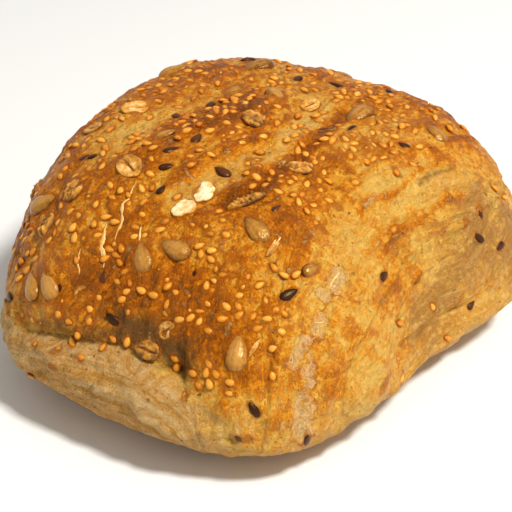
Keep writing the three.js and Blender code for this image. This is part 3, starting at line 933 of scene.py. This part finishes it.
    def material(self):
        """The finished material, with its gloss and its fine bumps."""
        shader, marks = self.shader, self.marks
        wrinkles = 1 - abs(shader.noise(420, 3, 0.6, self.pulled, 0.9) - 0.5) * 6
        height = self.mottle + self.streaks * 0.6 + self.layers * marks.bare * 1.3
        height = height + wrinkles * 0.1 + self.patchy * 0.6 + self.pits.between(0.0, 0.12) * 0.25
        return shader.finish(
            Base_Color=self.colour,
            Roughness=0.33 + marks.pale * 0.24 + self.mottle * 0.5 - self.streaks * 0.2,
            Normal=shader.bump(self.fine, 0.00045, below=shader.bump(height, 0.0018)),
            Specular_IOR_Level=self.look.shine,
            Specular_Tint=as_colour(self.look.gloss_tint),
        )


def crust_material():
    """Baked skin: mottled toast, opened pale dough, painted shade in the hollows, creases and grooves,
    blisters, toasted halos with painted contact shade round the seeds.
    """
    skin = CrustSkin(bpy.context.scene.crust_colours)
    skin.open_dough()
    skin.flour_foot()
    skin.blister()
    skin.speckle()
    skin.underside()
    return skin.material()


def seed_material(
    name, tones, roughness, shine, grain=2500, depth=0.00012, spread=0.6, edge=0.46, lines=0.4
):
    """A seed's skin: a run of tones from its palest to its most toasted.

    Spread, edge and lines say how far the seed's own tone, its rim and its grooves darken it; the rim's
    darkening is partly toasted edge and partly painted contact shade. Grain is in lumps per metre, and
    depth, in metres, is how deep it is.
    """
    shader = Shader(name)
    tone, rim, streak = (shader.attribute(key) for key in ("tone", "rim", "streak"))
    mottle = shader.noise(grain, 3, 0.6) - 0.5
    share = 0.04 + tone * spread + rim * edge + (streak - 0.5) * lines + mottle * 0.8
    return shader.finish(
        Base_Color=shader.ramp(share, tones), Roughness=roughness,
        Normal=shader.bump(mottle, depth, 0.5), Specular_IOR_Level=shine,
        Specular_Tint=as_colour(bpy.context.scene.seed_colours.gloss_tint),
    )


# --------------------------------------------------------------------------------------------------
# Seeds by Geometry Nodes
# --------------------------------------------------------------------------------------------------


class Tree:
    """A Geometry Nodes tree built by code."""

    def __init__(self, name):
        self.tree = bpy.data.node_groups.new(name, "GeometryNodeTree")
        self.tree.interface.new_socket("Geometry", in_out="INPUT", socket_type="NodeSocketGeometry")
        self.tree.interface.new_socket("Geometry", in_out="OUTPUT", socket_type="NodeSocketGeometry")
        self.source = self.tree.nodes.new("NodeGroupInput")

    def input(self, name, kind):
        """A named input of the tree."""
        self.tree.interface.new_socket(name, in_out="INPUT", socket_type=kind)
        return self.source.outputs[name]

    def add(self, kind, settings, sockets, output=0):
        """A node: its settings first, then its sockets' values or links."""
        node = self.tree.nodes.new(kind)
        for key, value in settings.items():
            setattr(node, key, value)
        for key, value in sockets.items():
            if isinstance(value, bpy.types.NodeSocket):
                self.tree.links.new(value, node.inputs[key])
            else:
                node.inputs[key].default_value = value
        return node.outputs[output]

    def math(self, operation, *values):
        """A Math node on numbers."""
        return self.add("ShaderNodeMath", {"operation": operation}, dict(enumerate(values)))

    def store(self, geometry, name, value):
        """Keeps a number on each point."""
        return self.add(
            "GeometryNodeStoreNamedAttribute", {"data_type": "FLOAT"},
            {"Geometry": geometry, "Name": name, "Value": value},
        )

    def vector(self, x, y, z):
        """A vector put together from numbers."""
        return self.add("ShaderNodeCombineXYZ", {}, {0: x, 1: y, 2: z})

    def carried(self, name):
        """A vector kept on the points that carry the seeds."""
        kind = {"data_type": "FLOAT_VECTOR"}
        return self.add("GeometryNodeInputNamedAttribute", kind, {"Name": name})


GROOVE_STRETCH = 7.0  # how much finer the grooves run across a seed than along it
GROOVE_SCALE = 1.6
NARROWEST = 0.02  # keeps the tip of a seed from closing


def seed_tree():
    """Points with a lie, a size and a tone become drop-shaped, grooved seeds."""
    made = Tree("seeds_on_crust")
    splits = made.input("Splits", "NodeSocketInt")
    taper = made.input("Taper", "NodeSocketFloat")
    tip = made.input("Tip", "NodeSocketFloat")
    groove = made.input("Groove", "NodeSocketFloat")
    material = made.input("Material", "NodeSocketMaterial")
    ball = made.add("GeometryNodeMeshIcoSphere", {}, {"Radius": 0.5, "Subdivisions": splits})
    place = made.add("GeometryNodeInputPosition", {}, {})
    x, y, z = made.add("ShaderNodeSeparateXYZ", {}, {0: place}).node.outputs
    along = made.math("MULTIPLY", x, 2.0)
    cone = made.math("SUBTRACT", 1.0, made.math("MULTIPLY", along, taper))
    room = made.math("MAXIMUM", made.math("SUBTRACT", 1.0, along), NARROWEST)
    girth = made.math("MULTIPLY", cone, made.math("POWER", room, tip))
    stretched = made.vector(x, made.math("MULTIPLY", y, GROOVE_STRETCH), z)
    streak = made.add(
        "ShaderNodeTexNoise", {}, {"Vector": stretched, "Scale": GROOVE_SCALE, "Detail": 3.0}
    )
    rise = made.math("MULTIPLY", made.math("SUBTRACT", streak, 0.5), groove)
    thick = made.math("ADD", girth, made.math("MULTIPLY", rise, 2.0))
    shape = made.vector(x, made.math("MULTIPLY", y, girth), made.math("MULTIPLY", z, thick))
    # The rim grows from the seed's top to its base and darkens it there: toasted edge and painted contact
    # shade.
    rim = made.math("SUBTRACT", 1.0, made.math("MULTIPLY", z, 2.0))
    marked = made.store(made.store(ball, "rim", rim), "streak", streak)
    shaped = made.add("GeometryNodeSetPosition", {}, {"Geometry": marked, "Position": shape})
    turned = made.add("FunctionNodeEulerToRotation", {}, {0: made.carried("lie")})
    points, size = made.source.outputs["Geometry"], made.carried("size")
    laid = made.add(
        "GeometryNodeInstanceOnPoints", {},
        {"Points": points, "Instance": shaped, "Rotation": turned, "Scale": size},
    )
    real = made.add("GeometryNodeRealizeInstances", {}, {"Geometry": laid})
    smooth = made.add("GeometryNodeSetShadeSmooth", {}, {"Geometry": real})
    finished = made.add("GeometryNodeSetMaterial", {}, {"Geometry": smooth, "Material": material})
    end = made.tree.nodes.new("NodeGroupOutput")
    made.tree.links.new(finished, end.inputs["Geometry"])
    return made.tree


def keep(mesh, name, kind, values):
    """Keeps numbers or vectors on a mesh's points."""
    key = "vector" if kind == "FLOAT_VECTOR" else "value"
    mesh.attributes.new(name, kind, "POINT").data.foreach_set(key, values)


def seeds_object(name, kind, places, material, tones=None):
    """A piece that holds every seed of one kind, its tones drawn unless they are given."""
    matrices = lay_on_crust(kind, places)
    draw = Draw(7 * len(places))
    sizes = []
    for place in places:
        length = place[3] * MM
        width = length * kind.width * draw.between(*WIDTHS)
        sizes += [length, width, length * kind.depth * draw.between(*DEPTHS)]
    mesh = bpy.data.meshes.new(name + "_places")
    mesh.from_pydata([matrix.translation for matrix in matrices], [], [])
    keep(mesh, "lie", "FLOAT_VECTOR", [angle for matrix in matrices for angle in matrix.to_euler()])
    keep(mesh, "size", "FLOAT_VECTOR", sizes)
    keep(mesh, "tone", "FLOAT", tones or [draw() for _ in places])
    carrier = bpy.data.objects.new(name + "_carrier", mesh)
    bpy.context.scene.collection.objects.link(carrier)
    modifier = carrier.modifiers.new("Seeds", "NODES")
    modifier.node_group = bpy.data.node_groups.get("seeds_on_crust") or seed_tree()
    chosen = {
        "Splits": kind.splits, "Taper": kind.taper, "Tip": kind.tip, "Groove": kind.groove,
        "Material": material,
    }
    for socket in modifier.node_group.interface.items_tree:
        if socket.name in chosen:
            modifier[socket.identifier] = chosen[socket.name]
    bpy.context.view_layer.update()
    evaluated = carrier.evaluated_get(bpy.context.evaluated_depsgraph_get())
    plain = bpy.data.meshes.new_from_object(evaluated)
    plain.name = name
    bpy.data.objects.remove(carrier)
    bpy.data.meshes.remove(mesh)
    finished_piece(name, plain)


def finished_piece(name, mesh):
    """Links a piece, lets it ride on the roll's body and stand for its solid."""
    piece = bpy.data.objects.new(name, mesh)
    bpy.context.scene.collection.objects.link(piece)
    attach(piece, BODY)
    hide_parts(NODE)


JOINED_WITHIN = 1e-7  # metres


def closed_piece(name, points, faces, material, marks):
    """A piece from points in metres and faces, its seams joined and its faces turned outwards."""
    mesh = bpy.data.meshes.new(name)
    mesh.from_pydata(points, [], faces)
    for key, values in marks.items():
        keep(mesh, key, "FLOAT", values)
    shaped = bmesh.new()
    shaped.from_mesh(mesh)
    bmesh.ops.remove_doubles(shaped, verts=shaped.verts, dist=JOINED_WITHIN)
    bmesh.ops.recalc_face_normals(shaped, faces=shaped.faces)
    shaped.to_mesh(mesh)
    shaped.free()
    mesh.shade_smooth()
    mesh.materials.append(material)
    finished_piece(name, mesh)


# --------------------------------------------------------------------------------------------------
# Flakes, grains and bran, each with a shape of its own
# --------------------------------------------------------------------------------------------------

FLAKE_ROWS, FLAKE_SPOKES = 22, 40
# How ragged the edge of each look of flake is, as a share of its radius.
RAGGED = {
    "oat": 0.09, "white": 0.13, "shell": 0.12, "ring": 0.05, "grain": 0.08,
    "bark": 0.06, "husk": 0.06, "splinter": 0.06,
}
THICK_LOOKS = ("grain", "husk")
THICKER = 1.5
WHOLE_TURN = 6.28  # radians, for phases that are drawn


def flake_surface(look, draw):
    """A flake of radius one: rows of points from the middle of its top to that of its base, and tones."""
    steep, turn = np.meshgrid(
        np.linspace(0, math.pi, FLAKE_ROWS + 1),
        np.linspace(0, 2 * math.pi, FLAKE_SPOKES, endpoint=False), indexing="ij",
    )
    out, up = np.sin(steep), np.cos(steep)
    up = np.sign(up) * np.abs(up) ** 0.7
    edge = 1 + sum(
        RAGGED[look] / n**0.6 * np.sin(n * turn + draw.between(0, WHOLE_TURN)) for n in (2, 3, 5, 8)
    )
    x, y = out * np.cos(turn) * edge, out * np.sin(turn) * edge
    shift = np.array([draw.between(0, 50), draw.between(0, 50), 0])
    flat = np.stack([x, y, np.zeros_like(x)], -1).reshape(-1, 3) + shift
    crumple = (noise(flat, 0.45, 5) * 0.6 + noise(flat, 0.2, 6) * 0.4).reshape(x.shape)
    fibres = noise(flat * (0.6, 5, 1), 0.8, 7).reshape(x.shape)
    top = np.clip(up * 3, 0, 1)
    slit = np.exp(-((y + 0.06 * np.sin(3 * x)) / 0.09) ** 2) * np.clip(1.3 - np.abs(x) * 1.3, 0, 1)
    if look == "oat":
        height = 0.5 * out**3 - 0.5 * slit + 0.35 * crumple
        tone = 0.34 + 0.3 * slit + 0.4 * out**5 - 0.3 * crumple
    elif look == "white":
        height = 0.7 * crumple + 0.5 * out**4 * np.sin(2 * turn + 1)
        tone = 0.02 - 0.3 * crumple + 0.25 * out**8
    elif look == "shell":
        height = 0.9 * out**4 - 0.3 * (1 - out) + 0.3 * crumple
        tone = 0.12 + 0.75 * np.clip(out * 1.6 - 1, 0, 1) * (np.sin(turn) < 0.2) - 0.3 * crumple
    elif look in ("ring", "bark"):
        height = -0.6 * np.exp(-((out / 0.6) ** 4)) - 0.7 * slit + 0.35 * crumple + 0.3 * out**4
        tone = (0.62 if look == "ring" else 0.85) - 0.3 * np.exp(-((out / 0.62) ** 4))
        tone = tone + 0.6 * slit - 0.3 * crumple
    elif look == "grain":
        height = 0.5 * fibres + 1.1 * crumple - 0.5 * slit + 0.5 * (1 - out)
        tone = 0.76 - 0.28 * fibres - 0.4 * crumple + 0.2 * slit
    elif look == "husk":
        wrinkles = np.sin(26 * x + 3 * np.sin(2 * y))
        height = 0.45 * wrinkles * (1 - out**4) + 0.8 * crumple
        tone = 0.78 - 0.16 * wrinkles - 0.3 * crumple
    else:
        height = 0.4 * fibres + 0.5 * crumple
        tone = 0.35 + 0.35 * (x < 0) - 0.3 * fibres
    return np.stack([x, y, up + height * top], -1), tone


def flakes_object(name, kind, places, material):
    """A piece with a surface for each flake."""
    matrices = lay_on_crust(kind, places)
    points, faces, tones, rims = [], [], [], []
    index = np.arange((FLAKE_ROWS + 1) * FLAKE_SPOKES).reshape(FLAKE_ROWS + 1, FLAKE_SPOKES)
    beside = np.roll(index, -1, axis=1)
    quads = np.stack([index[:-1], index[1:], beside[1:], beside[:-1]], -1).reshape(-1, 4)
    draw = Draw(len(name))
    for matrix, (_, _, _, length, look) in zip(matrices, places):
        surface, tone = flake_surface(look, draw)
        if look == "oat":
            axis = matrix.col[2].to_3d().cross(Vector(direction(*TORN_CORNER)))
            centre = matrix.translation.copy()
            matrix = Matrix.Rotation(math.radians(OAT_LEAN), 4, axis) @ matrix
            matrix.translation = centre
        thick = kind.depth * (THICKER if look in THICK_LOOKS else 1.0)
        size = np.array([length, length * kind.width, length * thick]) / 2 * MM
        turned = (surface.reshape(-1, 3) * size) @ np.array(matrix.to_3x3()).T
        faces += (quads + len(points)).tolist()
        points += (turned + np.array(matrix.translation)).tolist()
        tones += tone.ravel().tolist()
        # Darker towards each flake's base: toasted edge and painted contact shade.
        rims += np.clip(0.6 - surface[..., 2], 0, 1).ravel().tolist()
    marks = {"tone": tones, "rim": rims, "streak": [0.5] * len(points)}
    closed_piece(name, points, faces, material, marks)


THREAD_SIDES, THREAD_STEP = 6, 0.5
THREAD_DEPTH = 0.14
THREAD_SWAY = 0.2  # share of the half width that a thread wanders to either side
OUTSIDE = 0.09  # metres from the heart, beyond every part of the crust


def thread_line(path):
    """Directions spaced evenly along a path over the smooth loaf."""
    corners = direction(*np.array(path, float).T)
    lengths = np.linalg.norm(np.diff(smooth_points(corners), axis=0), axis=1)
    count = max(5, int(lengths.sum() / THREAD_STEP))
    reached = np.append(0, lengths.cumsum()) / lengths.sum()
    at = np.interp(np.linspace(0, 1, count), reached, range(len(path)))
    return unit(np.stack([np.interp(at, range(len(path)), corners[:, i]) for i in range(3)], 1))


def threads_object(name, threads, material):
    """A piece of thin raised threads that lie along paths on the crust."""
    under = bpy.data.objects["crust"].data
    skin = BVHTree.FromPolygons([v.co for v in under.vertices], [f.vertices for f in under.polygons])
    points, faces = [], []
    draw = Draw(len(threads))
    around = np.linspace(0, 2 * math.pi, THREAD_SIDES, endpoint=False)
    for half_width, path in threads:
        towards = thread_line(path)
        run = unit(np.gradient(towards, axis=0))
        aside = unit(np.cross(towards, run))
        phase = draw.between(0, WHOLE_TURN)
        first = len(points)
        for i, way in enumerate(towards):
            share = i / (len(towards) - 1)
            taper = math.sin(math.pi * (0.03 + 0.94 * share))
            uneven = 1 + 0.2 * math.sin(1.3 * i + phase) + 0.15 * draw.between(-1, 1)
            width = half_width * taper * uneven
            hit = skin.ray_cast(Vector(way * OUTSIDE + HEART * MM), Vector(-way))[0]
            sway = aside[i] * half_width * THREAD_SWAY * math.sin(0.8 * i + phase)
            middle = np.array(hit) / MM + sway
            for angle in around:
                upward = way * math.sin(angle) * THREAD_DEPTH * taper
                offset = aside[i] * math.cos(angle) * width + upward
                points.append(tuple((middle + offset) * MM))
        for start in range(first, len(points) - THREAD_SIDES, THREAD_SIDES):
            for k in range(THREAD_SIDES):
                a, b = start + k, start + (k + 1) % THREAD_SIDES
                faces.append((a, b, b + THREAD_SIDES, a + THREAD_SIDES))
        faces.append([first + k for k in reversed(range(THREAD_SIDES))])
        faces.append([len(points) - THREAD_SIDES + k for k in range(THREAD_SIDES)])
    closed_piece(name, points, faces, material, {})


# --------------------------------------------------------------------------------------------------
# The crust
# --------------------------------------------------------------------------------------------------


def ball_grid(cells):
    """Directions and faces of a closed grid of six square fields, its seams joined."""
    steps = np.tan(np.linspace(-1, 1, cells + 1) * math.pi / 4)
    first, second = np.meshgrid(steps, steps, indexing="ij")
    one = np.ones_like(first)
    fields = [
        (one, first, second), (-one, second, first), (second, one, first),
        (first, -one, second), (first, second, one), (second, first, -one),
    ]
    towards = unit(np.concatenate([np.stack(field, -1).reshape(-1, 3) for field in fields]))
    index = np.arange((cells + 1) ** 2).reshape(cells + 1, cells + 1)
    corners = [index[:-1, :-1], index[1:, :-1], index[1:, 1:], index[:-1, 1:]]
    quads = np.stack(corners, -1).reshape(-1, 4)
    faces = np.concatenate([quads + field * (cells + 1) ** 2 for field in range(6)])
    _, kept, renumbered = np.unique(
        np.round(towards, 6), axis=0, return_index=True, return_inverse=True
    )
    return towards[kept], renumbered.reshape(-1)[faces]


def gathered_above(towards):
    """Directions moved up, so that more of the grid lies on the crust than on the base."""
    lifted = towards[:, 2] + GRID_LIFT * (1 - towards[:, 2] ** 2)
    level = np.linalg.norm(towards[:, :2], axis=1)
    shrink = np.sqrt(np.maximum(1 - lifted**2, 0)) / np.maximum(level, 1e-9)
    return unit(np.stack([towards[:, 0] * shrink, towards[:, 1] * shrink, lifted], 1))


def around_seeds(points, kinds):
    """For each crust point, how near it is to the edge of a seed, and how much the crust wells up there."""
    tree = KDTree(len(points))
    for i, point in enumerate(points):
        tree.insert(point, i)
    tree.balance()
    nearness = np.zeros(len(points))
    well = np.zeros(len(points))
    for kind, places in kinds:
        for matrix, place in zip(lay_on_crust(kind, places), places):
            length = place[3] * MM
            found = tree.find_range(matrix.translation, length * 0.5 + HALO_SEARCH)
            if not found:
                continue
            near = np.array([i for _, i, _ in found])
            local = (points[near] - np.array(matrix.translation)) @ np.array(matrix.to_3x3())
            half = np.array([length, length * kind.width]) / 2
            reach = np.linalg.norm(local[:, :2] / half, axis=1)
            beyond = (reach - 1) * half.mean() / MM
            nearness[near] = np.maximum(nearness[near], 1 - beyond / HALO_WIDTH)
            rise = length * kind.depth / MM * WELL_HEIGHT
            fading = np.exp(-((np.maximum(beyond, 0) / WELL_WIDTH) ** 2))
            well[near] = np.maximum(well[near], rise * fading)
    return np.clip(nearness, 0, 1), well


def ridged(values):
    """Noise folded into sharp crests, from -1 to 1."""
    return 1 - 2 * np.abs(values)


def crust_skin(towards, smooth, across, along):
    """Fine relief of the skin in millimetres, too small for the solid."""
    bearing, rise = bearing_and_rise(towards)
    foot = smoothstep(above_pale_foot(bearing, rise), 1, -2) * facing(bearing, 170, 0.3, 0.8)
    seeded = seeded_share(bearing, rise)
    opened = np.clip(along_paths(smooth, PALE[:3]), 0, 1)
    lumps = 0.36 * noise(smooth, 6.5, 11) + 0.46 * noise(smooth, 3.4, 12) + 0.32 * noise(smooth, 1.8, 13)
    grain = np.stack([across, along * 0.2, across * 0], 1)
    drawn = ridged(noise(grain, 2.8, 14)) * 0.42 + ridged(noise(grain, 1.4, 18)) * 0.26
    torn = ridged(noise(smooth, 4.2, 15)) * 0.3 * opened + noise(smooth, 1.7, 16) * 0.2 * opened
    level = np.stack([np.radians(bearing) * 8, smooth[:, 2] + 0.8 * noise(smooth, 7, 20), rise * 0], 1)
    wrinkled = (ridged(noise(level, 2.6, 17)) * 0.5 + ridged(noise(level, 1.3, 19)) * 0.3) * foot
    drawn *= (1 - 0.3 * seeded) * (1 - foot)
    return lumps + drawn + torn + wrinkled + along_paths(smooth, CREASES)


def crust_marks(towards, smooth, skin):
    """Numbers that say how each point of the crust is baked."""
    bearing, rise = bearing_and_rise(towards)
    seeded = smoothstep(seeded_share(bearing, rise), 0, 1)
    blotch = noise(smooth, 16, 3) * 0.12 + noise(smooth, 7, 4) * 0.1
    end = facing(bearing, 172, 0.1, 0.8) * smoothstep(rise, 52, 24)
    above = above_pale_foot(bearing, rise)
    # Toast also carries the painted shade of the groove and the back crease.
    toast = 0.2 + seeded * 0.27 + end * 0.12 + blotch + skin * 0.2 + along_paths(smooth, TOASTED_AND_SHADED)
    toast -= 0.2 * smoothstep(above, 13, 1) * facing(bearing, 172, 0.6, 0.9)
    end_foot = facing(bearing, 176, 0.74, 0.93) * smoothstep(above, 1.4, -1.6)
    cut_foot = smoothstep(rise, 6, -8) * (1 - seeded)
    pale = along_paths(smooth, PALE) + end_foot + cut_foot * 0.55
    blister = np.full(len(smooth), -1.0)
    for radius, path in BLISTERS:
        distance = beside_path(smooth, path)[0]
        blister = np.maximum(blister, 1 - distance / radius)
    # Where shade is painted along the creases that cut into the crust.
    crack = np.zeros(len(smooth))
    for height, _, _, path in CREASES:
        if height < 0:
            distance = beside_path(smooth, path)[0]
            crack = np.maximum(crack, (1 - distance / CRACK_WIDTH) * min(1, -height * 1.6))
    return {
        "bare": np.clip(end_foot + cut_foot * 0.3, 0, 1),
        "toast": np.clip(toast, 0, 1.2),
        "pale": np.clip(pale, 0, 1),
        "tanned": np.clip(along_paths(smooth, TANNED), 0, 1),
        "dull": np.clip(along_paths(smooth, DULL_AND_SHADE), 0, 1),
        "blister": blister,
        "crack": crack,
        "under": smoothstep(smooth[:, 2], *UNDERSIDE),
    }


class BREAD_OT_crust(Operator):
    """Makes the crust with its folds, scores and skin"""

    bl_idname = "bread.crust"
    bl_label = "Crust"

    def execute(self, context):
        grid, faces = ball_grid(context.scene.loaf_sizes.cells)
        towards = gathered_above(grid)
        smooth = smooth_points(towards)
        across, along = with_the_pull(smooth)
        skin = crust_skin(towards, smooth, across, along)
        marks = crust_marks(towards, smooth, skin)
        marks.update(across=across * MM, along=along * MM)
        height = relief(smooth)
        kinds = [*LARGE_SEEDS, (SESAME, strew_sesame())]
        coarse = raised(smooth, height) + HEART
        marks["near_seed"], well = around_seeds(coarse * MM, kinds)
        sunk = BLISTER_SUNK * smoothstep(marks["blister"], 0, 0.5)
        points = raised(smooth, height, (skin + well - sunk) * above_foot(smooth)) + HEART
        points[:, 2] = np.maximum(points[:, 2], 0)
        mesh = bpy.data.meshes.new("crust")
        mesh.from_pydata((points * MM).tolist(), [], faces.tolist())
        for name, values in marks.items():
            keep(mesh, name, "FLOAT", values)
        mesh.shade_smooth()
        mesh.materials.append(crust_material())
        finished_piece("crust", mesh)
        return {"FINISHED"}


class BREAD_OT_threads(Operator):
    """Lays the threads of torn skin on the stretched crust"""

    bl_idname = "bread.threads"
    bl_label = "Torn skin"

    def execute(self, context):
        look = context.scene.crust_colours
        shader = Shader("torn_skin")
        mottle = shader.noise(1500, 4, 0.7) - 0.5
        colour = shader.ramp(0.5 + mottle * 2.4, (look.dough_brown, look.dough_light, look.web))
        normal = shader.bump(mottle, 0.0003, 0.6)
        skin = shader.finish(Base_Color=colour, Roughness=0.6, Normal=normal)
        threads_object("torn_skin", THREADS, skin)
        return {"FINISHED"}


class BREAD_OT_sesame(Operator):
    """Strews sesame over the crust"""

    bl_idname = "bread.sesame"
    bl_label = "Sesame"

    def execute(self, context):
        look = context.scene.seed_colours
        tones = (look.sesame_pale, look.sesame, look.sesame_toast_and_shade)
        skin = seed_material("sesame_skin", tones, roughness=0.34, shine=0.45, edge=0.6)
        seeds_object("sesame", SESAME, strew_sesame(), skin)
        return {"FINISHED"}


class BREAD_OT_kernels(Operator):
    """Lays the sunflower kernels"""

    bl_idname = "bread.kernels"
    bl_label = "Sunflower kernels"

    def execute(self, context):
        look = context.scene.seed_colours
        tones = (look.kernel_pale, look.kernel, look.kernel_toast_and_shade)
        skin = seed_material(
            "kernel_skin", tones, roughness=0.24, shine=0.6, grain=1100, depth=0.0004,
            spread=0.55, edge=0.7, lines=0.8,
        )
        seeds_object("sunflower_kernels", KERNEL, KERNEL_PLACES, skin, KERNEL_TONES)
        return {"FINISHED"}


class BREAD_OT_flax(Operator):
    """Lays the dark flax seeds"""

    bl_idname = "bread.flax"
    bl_label = "Flax"

    def execute(self, context):
        look = context.scene.seed_colours
        tones = (look.flax_light, look.flax, look.flax_dark)
        skin = seed_material("flax_skin", tones, roughness=0.3, shine=0.3)
        seeds_object("flax", FLAX, FLAX_PLACES, skin)
        return {"FINISHED"}


class BREAD_OT_flakes(Operator):
    """Lays the rolled flakes, cracked grains and strips of bran"""

    bl_idname = "bread.flakes"
    bl_label = "Flakes and bran"

    def execute(self, context):
        look = context.scene.seed_colours
        tones = (look.flake_white, look.flake, look.flake_toasted, look.bran, look.bran_dark)
        skin = seed_material(
            "flake_skin", tones, roughness=0.5, shine=0.35, grain=1500, depth=0.00025, spread=0.8
        )
        flakes_object("flakes_and_grains", FLAKE, FLAKE_PLACES, skin)
        flakes_object("bran_strips", STRIP, STRIP_PLACES, skin)
        return {"FINISHED"}


def towards_viewer(azimuth, elevation):
    """Unit vector towards a viewer, azimuth 0 standing on the -Y side."""
    a, e = math.radians(azimuth), math.radians(elevation)
    return Vector((math.sin(a) * math.cos(e), -math.cos(a) * math.cos(e), math.sin(e)))


def aimed(name, data, azimuth, elevation, distance):
    """Links a camera or a light that looks at the aim of the stage."""
    scene = bpy.context.scene
    towards = towards_viewer(azimuth, elevation)
    made = bpy.data.objects.new(name, data)
    made.location = Vector(scene.stage_looks.aim) + towards * distance
    made.rotation_euler = towards.to_track_quat("Z", "Y").to_euler()
    scene.collection.objects.link(made)
    return made


FLOOR_GAP = 0.0001  # keeps the floor just below the base
CLIP_START = 0.01


class BREAD_OT_stage(Operator):
    """Makes the floor, the light and the camera"""

    bl_idname = "bread.stage"
    bl_label = "Stage"

    def execute(self, context):
        look = context.scene.stage_looks
        scene = context.scene
        scene.view_settings.view_transform = "Standard"
        mesh = bpy.data.meshes.new("floor")
        side = look.floor_side / 2
        corners = [(-side, -side, 0), (side, -side, 0), (side, side, 0), (-side, side, 0)]
        mesh.from_pydata(corners, [], [(0, 1, 2, 3)])
        paint = Shader("floor_paint")
        mesh.materials.append(paint.finish(Base_Color=as_colour(look.floor), Roughness=0.9))
        floor = bpy.data.objects.new("floor", mesh)
        scene.collection.objects.link(floor)
        floor.location.z = -FLOOR_GAP
        world = bpy.data.worlds.new("studio")
        world.use_nodes = True
        sky = world.node_tree.nodes["Background"]
        sky.inputs["Color"].default_value = as_colour(look.fill_colour)
        sky.inputs["Strength"].default_value = look.fill
        scene.world = world
        lens = bpy.data.cameras.new("camera")
        lens.lens = look.lens
        lens.clip_start = CLIP_START
        scene.camera = aimed("camera", lens, look.azimuth, look.elevation, look.distance)
        lamp = bpy.data.lights.new("key", "AREA")
        lamp.shape = "DISK"
        lamp.size = look.key_size
        lamp.energy = look.key
        lamp.color = tuple(look.key_colour)
        aimed("key", lamp, look.key_azimuth, look.key_elevation, look.key_distance)
        return {"FINISHED"}


class BREAD_PT_roll(Panel):
    """Lists the roll's pieces and looks"""

    bl_idname = "BREAD_PT_roll"
    bl_label = "Multigrain roll"
    bl_space_type = "VIEW_3D"
    bl_region_type = "UI"
    bl_category = "Bread"

    def draw(self, context):
        for operator in OPERATORS:
            self.layout.operator(operator.bl_idname)
        for group in PROPERTIES:
            box = self.layout.box()
            held = getattr(context.scene, group)
            for key in held.__annotations__:
                box.prop(held, key)


PROPERTIES = {
    "loaf_sizes": LoafSizes,
    "crust_colours": CrustColours,
    "seed_colours": SeedColours,
    "stage_looks": StageLooks,
}
OPERATORS = (
    BREAD_OT_crust, BREAD_OT_threads, BREAD_OT_sesame, BREAD_OT_kernels, BREAD_OT_flax,
    BREAD_OT_flakes, BREAD_OT_stage,
)


def register():
    """Registers the classes and puts the properties on the scene."""
    for made in (*PROPERTIES.values(), *OPERATORS, BREAD_PT_roll):
        bpy.utils.register_class(made)
    for name, group in PROPERTIES.items():
        setattr(bpy.types.Scene, name, PointerProperty(type=group))


def unregister():
    """Takes everything back that register added."""
    for name in PROPERTIES:
        delattr(bpy.types.Scene, name)
    for made in reversed((*PROPERTIES.values(), *OPERATORS, BREAD_PT_roll)):
        bpy.utils.unregister_class(made)


def main():
    """Makes every piece and the stage."""
    register()
    for operator in OPERATORS:
        area, name = operator.bl_idname.split(".")
        getattr(getattr(bpy.ops, area), name)()


if __name__ == "__main__":
    main()
